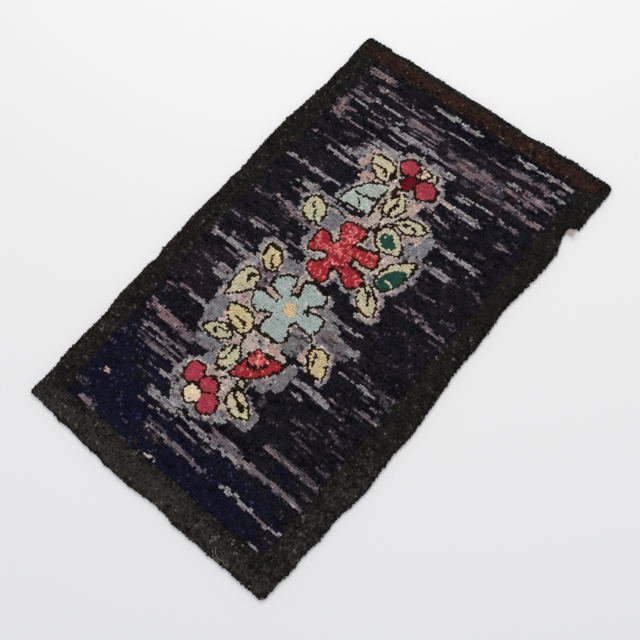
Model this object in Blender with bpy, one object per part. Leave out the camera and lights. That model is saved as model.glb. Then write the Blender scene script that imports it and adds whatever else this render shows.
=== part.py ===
"""A small hooked rug lying flat: a burlap foundation with its hem turned under, and the wool pile hooked through it.

Metres, +Z up. The origin is under the middle of the rug, on the surface that it lies on. X runs across the
rug and Y along it; the far edge, with the brown band of the border, is at +Y.
"""

import math

import bmesh
import bpy
from mathutils import Vector, noise

# Driving dimensions
RUG_WIDTH = 0.643
RUG_LENGTH = 1.031
CLOTH_THICKNESS = 0.0016
HEM_WIDTH = 0.028
HEM_THICKNESS = 0.0030
HEM_STEP = 0.005
HEM_CREASE = 0.0006
PILE_HEIGHT = 0.0060
PILE_OVERHANG = 0.0035
LAYER_GAP = 0.0003

# Rounding of the two rims
PILE_RIM_RADIUS = 0.0075
PILE_RIM_DROP = 0.0031
PILE_RIM_BULGE = 0.0007
FOLD_RADIUS = 0.0012
FOLD_DROP = 0.0012

# Unevenness of hand work
CELL = 0.0210
EDGE_REACH = 0.075
OVERHANG_REACH = 0.033
WAVE_HEIGHT = 0.0009
WAVE_LENGTH = 0.17
LUMP_HEIGHT = 0.0004
LUMP_LENGTH = 0.045
RIM_LUMP = 0.0010

# The worn place in the right-hand edge, where a tab of burlap has worked loose
TAB_Y = 0.3895
TAB_WIDTH = 0.0135
TAB_REACH = 0.0125
TAB_LIFT = 0.0012

# How far each edge falls inside the rug's box: the place along the edge and the inset there, in millimetres
LEFT_EDGE = (
    # (y, inset)
    (-500, 6), (-475, 10), (-440, 12), (-410, 7), (-360, 8), (-320, 10), (-290, 9), (-250, 4),
    (-200, 5), (-175, 4), (-140, 9), (-120, 3), (-60, 4), (-50, 0), (-25, 2), (25, 3),
    (50, 6), (75, 2), (100, 7), (150, 4), (200, 2), (255, 4), (300, 7), (335, 12),
    (343, 8), (352, 12), (375, 14), (400, 12), (430, 15), (465, 11), (505, 14),
)
RIGHT_EDGE = (
    # (y, inset)
    (-513, 20), (-500, 18), (-475, 15), (-440, 10), (-400, 12), (-370, 8), (-335, 8), (-322, 11),
    (-300, 5), (-240, 0), (-200, 4), (-165, 6), (-130, 3), (-100, 4), (-50, 9), (0, 13),
    (25, 17), (80, 16), (125, 18), (175, 23), (210, 20), (250, 18), (275, 15), (330, 15),
    (350, 22), (365, 28), (376, 30), (391, 30), (396, 12), (450, 14), (488, 13),
)
NEAR_EDGE = (
    # (x, inset)
    (-300, 7), (-285, 11), (-265, 7), (-255, 11), (-240, 8), (-225, 4), (-200, 6), (-150, 2),
    (-115, 4), (-105, 0), (-50, 0), (0, 2), (37, 6), (75, 4), (90, 1), (150, 3),
    (175, 1), (220, 4), (297, 4),
)
FAR_EDGE = (
    # (x, inset)
    (-300, 8), (-285, 4), (-265, 2), (-250, 5), (-225, 4), (-188, 1), (-175, 4), (-50, 4),
    (0, 3), (75, 6), (115, 8), (125, 4), (155, 4), (165, 0), (175, 5), (225, 2),
    (235, 6), (250, 4), (275, 8), (283, 4), (290, 8),
)
CORNER_RADIUS = {
    # (side in x, side in y): radius of the rounded corner
    (-1, -1): 0.010,
    (1, -1): 0.014,
    (1, 1): 0.026,
    (-1, 1): 0.011,
}

# Base colour and roughness of each material
FINISHES = {
    "burlap": ((0.36, 0.27, 0.17, 1.0), 0.95),
    "wool_pile": ((0.018, 0.016, 0.016, 1.0), 0.92),
}

# Both layers are laid out on one plain rectangle, the size of the hemmed burlap
HALF_WIDTH = RUG_WIDTH / 2 - PILE_OVERHANG
HALF_LENGTH = RUG_LENGTH / 2 - PILE_OVERHANG


def smooth_step(share):
    """0 at 0, 1 at 1, level at both ends."""
    held = min(max(share, 0.0), 1.0)
    return held * held * (3.0 - 2.0 * held)


def inset_at(edge, place):
    """The inset of an edge at a place along it, in metres."""
    millimetres = place * 1000.0
    if millimetres <= edge[0][0]:
        return edge[0][1] / 1000.0
    for (start, first), (end, last) in zip(edge, edge[1:]):
        if millimetres <= end:
            share = (millimetres - start) / (end - start)
            return (first + (last - first) * smooth_step(share)) / 1000.0
    return edge[-1][1] / 1000.0


def edge_pull(distance):
    """How fully a point this far inside an edge follows that edge's own line."""
    return 1.0 - smooth_step(distance / EDGE_REACH)


def depth_inside(x, y):
    """Distance of a point of the plain rectangle from its nearest edge."""
    return min(HALF_WIDTH - abs(x), HALF_LENGTH - abs(y))


def rounded_corner(x, y):
    """Moves a point of the plain rectangle so that the corner near it becomes round."""
    side = (1 if x > 0 else -1, 1 if y > 0 else -1)
    radius = CORNER_RADIUS[side]
    from_side = HALF_WIDTH - abs(x)
    from_end = HALF_LENGTH - abs(y)
    if from_side >= radius or from_end >= radius:
        return x, y
    across, along = radius - from_side, radius - from_end
    scale = max(across, along) / math.hypot(across, along)
    return (
        side[0] * (HALF_WIDTH - radius + across * scale),
        side[1] * (HALF_LENGTH - radius + along * scale),
    )


def follow_outline(x, y):
    """Carries a point of the plain rectangle to the uneven outline of the real burlap."""
    left = edge_pull(HALF_WIDTH + x) * inset_at(LEFT_EDGE, y)
    right = edge_pull(HALF_WIDTH - x) * inset_at(RIGHT_EDGE, y)
    near = edge_pull(HALF_LENGTH + y) * inset_at(NEAR_EDGE, x)
    far = edge_pull(HALF_LENGTH - y) * inset_at(FAR_EDGE, x)
    round_x, round_y = rounded_corner(x, y)
    return round_x + left - right, round_y + near - far


def push_out(x, y, reach):
    """A step away from the middle of the rug, of this length at the edges and fading inwards."""
    from_side = smooth_step((HALF_WIDTH - abs(x)) / OVERHANG_REACH)
    from_end = smooth_step((HALF_LENGTH - abs(y)) / OVERHANG_REACH)
    across = math.copysign(1.0 - from_side, x)
    along = math.copysign(1.0 - from_end, y)
    longest = max(1.0, math.hypot(across, along))
    return reach * across / longest, reach * along / longest


def rounding(depth, radius, drop):
    """How far a rim rounded over this radius has come down at this depth from its edge."""
    if depth >= radius:
        return 0.0
    outward = 1.0 - max(depth, 0.0) / radius
    return drop * (1.0 - math.sqrt(max(0.0, 1.0 - outward * outward)))


def cloth_top(depth):
    """Height of the burlap: doubled over the hem, then a short slope down to the single cloth."""
    inside = smooth_step((depth - HEM_WIDTH) / HEM_STEP)
    return HEM_THICKNESS + (CLOTH_THICKNESS - HEM_THICKNESS) * inside


def stations(half, rim_depths, extras=()):
    """Grid lines over one dimension: the rim's own at both ends, one a cell between, and the extras."""
    inner = half - rim_depths[-1]
    count = round(2 * inner / CELL)
    regular = [-inner + 2 * inner * step / count for step in range(count + 1)]
    kept = [line for line in regular if all(abs(line - extra) > CELL * 0.4 for extra in extras)]
    rim = [half - depth for depth in rim_depths[:-1]]
    return sorted([-line for line in rim] + kept + list(extras) + rim)


def add_sheet(bm, columns, rows, place):
    """One open grid whose points are put where place(x, y) says; returns its edges and those of its rim."""
    last_column, last_row = len(columns) - 1, len(rows) - 1
    made = bmesh.ops.create_grid(bm, x_segments=last_column, y_segments=last_row, size=0.5)["verts"]
    for vert in made:
        x = columns[round((vert.co.x + 0.5) * last_column)]
        y = rows[round((vert.co.y + 0.5) * last_row)]
        vert.co = place(x, y)
    edges = {edge for vert in made for edge in vert.link_edges}
    return edges, {edge for edge in edges if edge.is_boundary}


def swell_wall(bm, wall_edges, bulge):
    """Gives a wall of single faces a line round its middle and moves that line outwards."""
    parted = bmesh.ops.subdivide_edges(bm, edges=wall_edges, cuts=1)
    middle = {item for item in parted["geom_inner"] if isinstance(item, bmesh.types.BMVert)}
    for vert in middle:
        ends = [edge.other_vert(vert) for edge in vert.link_edges]
        low, high = sorted((end for end in ends if end not in middle), key=lambda end: end.co.z)
        outward = high.co - low.co
        outward.z = 0.0
        vert.co += outward.normalized() * bulge


def close_slab(name, top, bottom, columns, rows, material, bulge=0.0):
    """A closed solid between two sheets on the same grid lines, its flat parts in as few faces as they need."""
    bm = bmesh.new()
    top_edges, top_rim = add_sheet(bm, columns, rows, top)
    bottom_edges, bottom_rim = add_sheet(bm, columns, rows, bottom)
    rims = top_rim | bottom_rim
    wall = bmesh.ops.bridge_loops(bm, edges=list(rims))["edges"]
    if bulge:
        swell_wall(bm, wall, bulge)
    inner_edges = (top_edges | bottom_edges) - rims
    rim_verts = {vert for edge in rims for vert in edge.verts}
    inner_verts = {vert for edge in inner_edges for vert in edge.verts} - rim_verts
    bmesh.ops.dissolve_limit(
        bm, angle_limit=math.radians(0.1), verts=list(inner_verts), edges=list(inner_edges)
    )
    bmesh.ops.recalc_face_normals(bm, faces=bm.faces)
    mesh = bpy.data.meshes.new(name)
    bm.to_mesh(mesh)
    bm.free()
    mesh.shade_smooth()
    mesh.set_sharp_from_angle(angle=math.radians(50))
    mesh.materials.append(material)
    return bpy.data.objects.new(name, mesh)


def make_material(name):
    colour, roughness = FINISHES[name]
    material = bpy.data.materials.new(name)
    material.use_nodes = True
    shader = material.node_tree.nodes["Principled BSDF"]
    shader.inputs["Base Color"].default_value = colour
    shader.inputs["Roughness"].default_value = roughness
    shader.inputs["Metallic"].default_value = 0.0
    return material


def hooked_pile(columns, rows):
    """The wool pile: an uneven slab, rounded at its rim, that stands out over the folded edge of the burlap."""

    def top(x, y):
        depth = depth_inside(x, y)
        edge_x, edge_y = follow_outline(x, y)
        lump = noise.noise(Vector((x, y, 0.0)) / LUMP_LENGTH)
        out_x, out_y = push_out(x, y, PILE_OVERHANG + RIM_LUMP * lump)
        wave = WAVE_HEIGHT * noise.noise(Vector((x, y, 0.35)) / WAVE_LENGTH)
        height = cloth_top(depth) + LAYER_GAP + PILE_HEIGHT + wave + LUMP_HEIGHT * lump
        fall = rounding(depth, PILE_RIM_RADIUS, PILE_RIM_DROP)
        return edge_x + out_x, edge_y + out_y, height - fall

    def bottom(x, y):
        return (*follow_outline(x, y), cloth_top(depth_inside(x, y)) + LAYER_GAP)

    material = make_material("wool_pile")
    return close_slab("hooked_pile", top, bottom, columns, rows, material, PILE_RIM_BULGE)


def foundation(columns, rows):
    """The burlap: one cloth whose edges are turned under as a hem, with the loose tab in its worn edge."""

    def place(x, y, z):
        edge_x, edge_y = follow_outline(x, y)
        if x > 0:
            from_middle = abs(y - TAB_Y) / (TAB_WIDTH / 2)
            at_edge = smooth_step(1.0 - (HALF_WIDTH - x) / FOLD_RADIUS)
            loose = at_edge * (1.0 - smooth_step(from_middle - 0.4))
            edge_x += TAB_REACH * loose
            z += TAB_LIFT * loose
        return edge_x, edge_y, z

    def top(x, y):
        depth = depth_inside(x, y)
        return place(x, y, cloth_top(depth) - rounding(depth, FOLD_RADIUS, FOLD_DROP))

    def bottom(x, y):
        depth = depth_inside(x, y)
        crease = HEM_CREASE if abs(depth - HEM_WIDTH) < 0.0001 else 0.0
        return place(x, y, rounding(depth, FOLD_RADIUS, FOLD_DROP) + crease)

    return close_slab("foundation", top, bottom, columns, rows, make_material("burlap"))


def set_over_origin(pieces):
    """Slides the pieces together so that the middle of their box is over the origin."""
    corners = [vert.co for piece in pieces for vert in piece.data.vertices]
    middle_x = (min(corner.x for corner in corners) + max(corner.x for corner in corners)) / 2
    middle_y = (min(corner.y for corner in corners) + max(corner.y for corner in corners)) / 2
    for piece in pieces:
        for vert in piece.data.vertices:
            vert.co -= Vector((middle_x, middle_y, 0.0))


def main():
    for old in list(bpy.data.objects):
        bpy.data.objects.remove(old)
    collection = bpy.data.collections.new("hooked_rug")
    bpy.context.scene.collection.children.link(collection)
    hem_lines = (HEM_WIDTH - 0.0015, HEM_WIDTH, HEM_WIDTH + HEM_STEP)
    rim = (0.0, FOLD_RADIUS, 0.0035, PILE_RIM_RADIUS, 0.015, *hem_lines)
    worn_place = (0.332, 0.341, 0.350, 0.360, 0.3715, 0.3815, 0.3865, 0.3915, 0.3965, 0.403)
    columns = stations(HALF_WIDTH, rim)
    rows = stations(HALF_LENGTH, rim, worn_place)
    pieces = [foundation(columns, rows), hooked_pile(columns, rows)]
    set_over_origin(pieces)
    for piece in pieces:
        collection.objects.link(piece)


main()
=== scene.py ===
"""Dresses a small hooked rug: wool loops hooked through hemmed burlap, row by row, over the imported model.

Metres, +Z up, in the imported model's own frame. The design is laid out in millimetres on the burlap, as it
was drawn there by hand, and each loop of wool is a piece of geometry.
"""

import math

import bmesh
import bpy
import numpy as np
from bpy.props import FloatProperty, FloatVectorProperty, IntProperty, PointerProperty
from mathutils import Matrix, Vector, kdtree, noise
from mathutils.bvhtree import BVHTree


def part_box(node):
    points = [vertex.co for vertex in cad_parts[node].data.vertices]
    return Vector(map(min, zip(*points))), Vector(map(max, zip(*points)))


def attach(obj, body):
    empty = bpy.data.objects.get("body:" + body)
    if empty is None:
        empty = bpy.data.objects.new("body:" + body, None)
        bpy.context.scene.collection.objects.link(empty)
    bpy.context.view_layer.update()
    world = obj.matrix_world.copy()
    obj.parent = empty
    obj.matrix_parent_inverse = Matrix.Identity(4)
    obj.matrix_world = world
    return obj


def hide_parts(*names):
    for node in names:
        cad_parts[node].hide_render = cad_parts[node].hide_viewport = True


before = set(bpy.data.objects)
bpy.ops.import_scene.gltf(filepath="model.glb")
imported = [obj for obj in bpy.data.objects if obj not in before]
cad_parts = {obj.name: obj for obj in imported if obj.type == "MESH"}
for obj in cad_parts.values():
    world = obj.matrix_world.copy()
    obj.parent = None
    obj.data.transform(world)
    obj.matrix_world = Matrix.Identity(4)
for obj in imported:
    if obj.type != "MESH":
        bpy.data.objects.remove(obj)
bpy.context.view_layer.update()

bl_info = {
    "name": "Hooked Rug",
    "version": (1, 0, 0),
    "blender": (4, 5, 0),
    "location": "3D View > Sidebar > Hooked Rug",
    "description": "Hooks a small wool rug loop by loop on its burlap",
    "category": "Object",
}

MM = 0.001
BODY = "root"
PILE_NODE = "hooked_pile"
CLOTH_NODE = "foundation"
LOOP_MAP = "OFBake"
# The most loops in one piece, so that it stays under 200,000 triangles
MOST_LOOPS = 8300
# Heights and radii of a loop, foot, belly, shoulder and crown, by twice their height on a plain ball
LOOP_STATIONS = {-2: (0.0, 0.0), -1: (0.52, 1.0), 1: (0.85, 0.76), 2: (1.0, 0.0)}
# A loop's half size as a share of the pitch, and its spread; over a half, neighbours press into each other
LOOP_FULLNESS = (0.80, 0.05)
# How else loops differ; tops and lumps as shares of the unevenness
RISE_SPREAD = 0.06
TOP_SPREAD = 0.7
TOP_LUMPS = 1.4
TURN_SPREAD = 0.25
LEAN_SPREAD = 0.15
SHADE_SPREAD = 0.20
# How much of a loop lies below the pile's surface, and the least height of that surface
SUNK_SHARE = 0.96
LEAST_TOP = 0.0058
# How far loops lean out near the rim, and from what distance and over how much more this fades
EDGE_LEAN, EDGE_LEAN_FROM, EDGE_LEAN_OVER = 0.75, 0.0015, 0.008
# The loops over the edge: height and tilt with their spreads, size, root and straying
RIM_LOOP_HEIGHT = (0.0034, 0.0003)
RIM_LOOP_TILT = (0.30, 0.10)
RIM_LOOP_SIZE = 0.72
RIM_LOOP_ROOT = 0.8
RIM_UNEVENNESS = 0.0009
# Loops in this band may lie over the rim, and this far past it they are left out
EDGE_BAND = 0.05
LOST_PAST_RIM = 0.0015
# Distances between loops, in loop pitches
OUTLINE_GAP = 0.75
BESIDE_LINE = 0.55
EASED_GAP = 0.97
CROWDED_GAP = 0.66
RIM_CROWDED_GAP = 0.6
GAP_FROM = 0.78
FILLED_GAP = 0.8
# How near the rim a gap is filled, in rim insets, and two distances in row pitches
FILLED_INSIDE = 0.9
GROUND_GAP = 0.8
THICK_REACH = 0.95
# How often crowded loops are pushed apart, how rows are staggered, and where their waver fades out
EASE_ROUNDS = 14
ROW_STAGGER = 0.5
ROW_START = (0.1, 0.9)
WAVER_HELD_OVER = 0.03

# The burlap's edge inside the pile's, and the heights of its upper face and of the hem's middle
EDGE_INSET = 0.0038
CLOTH_TOP_HEM = 0.0030
CLOTH_TOP_FIELD = 0.0014
HEM_UNDER = 0.00085
HEM_SLOPE = 0.005
# Grid lines of the burlap under its folded edge and on its face, and the cells between
HEM_LINES = (0.018, 0.009)
FACE_LINES = (0.008, 0.018)
CLOTH_CELL = 0.0125
# The bed under the loops, dark with painted shade for the depth between them
BED_INSETS = (0.0032, 0.0046, 0.0075, 0.0120)
BED_CELL = 0.011
BED_LUMPS = 0.0002
BED_THICKNESS = 0.0012
BED_GAP = 0.0001
# Radii of the rug's corners: (side in x, side in y): radius
CORNER_RADIUS = {(-1, -1): 0.006, (1, -1): 0.014, (1, 1): 0.015, (-1, 1): 0.011}

# The rug's box reads a little off the middle of the drawn design
DESIGN_SHIFT = np.array([0.3, -1.9])
# How far, and in what lengths, a hand strays from the drawn outlines, in millimetres as all of the design
WOBBLE = 1.9
WOBBLE_LENGTH = 7.0
DRAWN_STEP = 2.0
FINE_SPACING = 0.8
# Shares of the way along a leaf or a petal, closer together at its ends
BAR_SHARES = 0.5 - 0.5 * np.cos(np.linspace(0.0, math.pi, 40))
PETAL_WIDENS_FROM = 0.24
PETAL_WIDENS_OVER = 0.50
PETAL_ROUND_FROM = 0.55
# The light ground: the stretch that holds it (middle in x, half sizes), and its reach from the dark rows
HALO_STRETCH = (-10.0, 175.0, 370.0)
HALO_REACH = 13.0
HALO_RAGGED = 4.0
BEIGE_REACH = 6.0
BEIGE_RAGGED = 5.0
PATCH_SQUARENESS = 3.0
PATCH_RAGGED = 0.5
PATCH_SOFT_FROM = 0.45
STREAK_RAGGED = 11.0
STREAK_FADE = 9.0
STREAK_STRAYS = 0.6
STREAK_BREAKS = -1.1
STREAK_MARGIN = 20.0
# The border's inner edges, with how far and over what length its sides bow
FIELD_SIDE = 262
FIELD_NEAR = -456
FIELD_FAR = 474
BOW_LEFT = (9.0, 430.0)
BOW_RIGHT = (4.0, 450.0)
BORDER_WAVER = 2.0
# The tones of the border's other yarns, and its brown band: from y, to y, half width, tone
OLIVE_FROM = 0.75
BLACK_BELOW = -0.55
BROWN_BAND = (477, 504, 292, -0.7)
YARN_LENGTH = 26.0
YARN_LOOSENESS = 0.13
# How far the dark rows are drawn to the straight rows of the weave, and where they thicken or break
STEP_TO_ROWS = 0.45
THICK_FROM = 0.26
BROKEN_FROM = 1.20

THREAD_SIDES = 5
THREAD_END = 0.6
# Corners of the stretch round the worn place of the right-hand edge, in metres
WORN_PLACE = ((0.280, 0.315), (0.330, 0.410))
# The loose tab of burlap there, in metres
TAB_PLACE = (0.3038, 0.3866, 0.0052)
TAB_WIDTH = 0.0130
TAB_LENGTH = 0.0120
TAB_ROWS = 7
TAB_COLUMNS = 6
TAB_SPACING = 0.0021
TAB_RADIUS = 0.00042
TAB_FRAY = 0.0030
TAB_CURL = 0.0035
TAB_DRIFT = 0.0006
STITCH_PITCH = 0.009
STITCH_LENGTH = 0.006
STITCH_HEIGHT = 0.00031
STITCH_RADIUS = 0.00027
STITCH_SLANT = (math.radians(50.0), 0.12)
# Threads that have fallen on the pile, in the design's millimetres
FALLEN_THREADS = (
    ((180, -492), (186, -500), (192, -503), (198, -506), (209, -504), (216, -507)),
    ((179, -501), (186, -506), (191, -510), (197, -509), (205, -509)),
)
THREAD_CURL = 0.0012
LINT_PLACES = ((-302, 301), (-187, -495), (293, 95), (265, -355), (262, 30), (201, -470))
LINT_THREADS = 3
LINT_LENGTH = (0.0015, 0.0035)
LINT_BEND = 0.6
LINT_SPREAD = 0.001
LINT_RADIUS = 0.00035
LINT_LIFT = 0.0008
LIFT_SPREAD = 0.0002

# The motifs are drawn on the burlap in millimetres, from its middle, with y towards the brown band
LEAVES = (
    # (yarn, base, tip, width, fullest at, power at base, power at tip, bend to the left)
    ("leaf_cream", (-49, 271), (-115, 301), 44, 0.40, 0.42, 0.85, 0),
    ("leaf_cream", (-109, 110), (-152, 155), 48, 0.47, 0.45, 0.50, 0),
    ("leaf_cream", (-3, 205), (-6, 264), 42, 0.40, 0.50, 0.85, 0),
    ("leaf_cream", (20, 206), (84, 221), 35, 0.48, 0.55, 0.75, -2),
    ("leaf_cream", (4, 177), (76, 152), 47, 0.45, 0.45, 0.80, -4),
    ("leaf_cream", (78, 72), (113, 158), 47, 0.42, 0.50, 0.85, 3),
    ("leaf_cream", (60, 62), (114, 18), 39, 0.45, 0.50, 0.65, -4),
    ("leaf_yellow", (-104, -27), (-148, 18), 39, 0.50, 0.55, 0.55, -3),
    ("leaf_cream", (-130, -41), (-148, -117), 45, 0.33, 0.40, 0.80, 2),
    ("leaf_yellow", (-55, -150), (-126, -128), 45, 0.45, 0.50, 0.75, -3),
    ("leaf_cream", (-77, -172), (-138, -193), 34, 0.48, 0.50, 0.75, 0),
    ("leaf_cream", (-50, -181), (-53, -240), 38, 0.48, 0.60, 0.75, 0),
    ("leaf_yellow", (73, -95), (116, -139), 40, 0.42, 0.40, 0.50, 0),
    ("leaf_cream", (2, -250), (64, -283), 40, 0.42, 0.50, 0.65, -8),
)
# Green hearts inside some of the leaves, without an outline of their own
GREEN_HEARTS = (
    # (base, tip, width, fullest at, power at base, power at tip)
    ((17, 167), (57, 155), 28, 0.45, 0.40, 0.60),
    ((80, 72), (111, 131), 37, 0.42, 0.40, 0.55),
    ((-129, 130), (-117, 112), 8, 0.50, 0.50, 0.50),
)
# Quarter rounds, their two straight sides meeting in a corner: the blue leaf and the red bud
FANS = (
    # (yarn, corner, end of the first side, end of the second side, fullness: 1 is straight and 2 is round)
    ("leaf_blue", (-33, 182), (-41, 260), (-107, 177), 1.75),
    ("flower_red", (-17, -165), (50, -160), (-31, -236), 1.92),
    ("tuft", (-2, 302), (-13, 330), (19, 329), 1.1),
)
BUD_HEART = (-2, -180, 20, 18)
# Where the red flower is rosier
ROSY_PATCHES = (
    # (x, y, half width, half height)
    (-32, 140, 30, 30), (-24, 92, 26, 22), (40, 112, 18, 14), (-70, 84, 24, 22),
)
# Fruit
BERRIES = (
    # (yarn, x, y, half width, half height, bunch): no outline lies between two of a bunch
    ("berry_dark", -15, 287, 16, 18, "upper fruit"),
    ("berry_crimson", -35, 317, 21, 20, "upper fruit"),
    ("berry_crimson", 24, 292, 25, 21, None),
    ("berry_crimson", -82, -273, 21, 23, None),
    ("berry_crimson", -42, -277, 22, 18, "lower fruit"),
    ("cream_peach", -57, -309, 20, 19, "lower fruit"),
    ("berry_crimson", -19, -306, 22, 22, "lower fruit"),
    ("halo_beige", 7, -237, 12, 9, None),
)
# The two open flowers, each made of a core, petals that widen from a neck, and fans, all joined
FLOWERS = (
    {
        "yarn": "flower_red",
        "core": (-23, 86, 27, 28),
        "petals": (
            # (base, tip, width at the neck, width at the end, squareness of the end)
            ((-25, 96), (-36, 155), 30, 56, 3.8),
            ((-8, 104), (50, 113), 24, 40, 2.6),
            ((-10, 68), (52, 54), 26, 45, 2.6),
            ((-27, 68), (-36, 14), 25, 56, 2.6),
            ((-34, 84), (-90, 83), 24, 52, 5.0),
        ),
        "fans": (),
    },
    {
        "yarn": "flower_blue",
        "core": (-25, -66, 30, 30),
        "petals": (
            ((-12, -50), (-3, 2), 33, 61, 5.0),
            ((-8, -67), (51, -60), 30, 45, 3.5),
            ((-22, -80), (-17, -135), 46, 65, 3.6),
        ),
        "fans": (
            # (corner, end of the first side, end of the second side, fullness)
            ((-39, -55), (-52, -4), (-92, -47), 1.5),
            ((-24, -72), (-97, -63), (-72, -108), 1.5),
        ),
    },
)
BLUE_HEART = (-22, -65, 17, 11, -48)
# Single rows of dark loops besides the outlines
DARK_LINES = (
    # Veins
    ((-96, 283), (-82, 283), (-70, 280), (-60, 269)), ((-56, 288), (-52, 277), (-50, 268)),
    ((-88, 210), (-75, 213), (-60, 213), (-44, 217)), ((-79, 208), (-69, 198), (-62, 188)),
    ((-142, 141), (-133, 132)), ((-6, 244), (-5, 228), (-6, 213)), ((-2, 238), (-1, 226)),
    ((37, 207), (48, 214)), ((57, 215), (62, 212)), ((66, 58), (78, 47), (92, 33)),
    ((72, 58), (82, 49)), ((-126, 1), (-122, -9), (-109, -22)), ((-118, -10), (-111, -17)),
    ((-128, -50), (-134, -57), (-131, -70)), ((-97, -138), (-82, -140), (-68, -148)),
    ((-107, -188), (-112, -182), (-104, -177), (-91, -173)), ((-55, -186), (-54, -216), (-59, -221)),
    ((77, -103), (85, -117), (88, -125)), ((81, -104), (89, -118)), ((5, -257), (20, -267), (42, -276)),
    ((25, -265), (43, -272)),
    # Stalks, and the places where stalks and outlines crowd together
    ((-29, 266), (-30, 250)), ((-25, 264), (-25, 251)), ((-28, 228), (-27, 206)),
    ((-22, 218), (-12, 201), (-5, 190), (0, 178), (3, 170)), ((8, 190), (19, 197), (31, 203)),
    ((10, 180), (2, 168), (-8, 163), (-16, 157)), ((-1, 172), (-5, 166)),
    ((22, 331), (27, 323), (29, 315)), ((-113, 107), (-98, 109)),
    ((-108, 156), (-94, 159), (-80, 158), (-67, 153)), ((52, 68), (60, 62)),
    ((3, 81), (18, 80), (36, 78)), ((-9, 64), (-1, 66)), ((48, -83), (56, -90), (63, -98)),
    ((66, -98), (70, -108)), ((4, -40), (8, -50), (14, -51)), ((8, -42), (12, -47)),
    ((-91, -24), (-94, -32), (-88, -38)), ((-52, -132), (-50, -150)), ((-53, -160), (-52, -180)),
    ((-99, -160), (-86, -163), (-74, -161)), ((-95, -165), (-84, -168), (-77, -167)),
    ((-28, -242), (-34, -252), (-45, -262)), ((-31, -192), (-33, -212), (-37, -226)),
    ((-54, -292), (-38, -294), (-30, -288)),
    ((15, -160), (20, -172), (19, -184), (10, -197), (-8, -200), (-21, -193)), ((14, -199), (-4, -203)),
    ((28, -22), (14, -27), (7, -38)),
)

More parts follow.
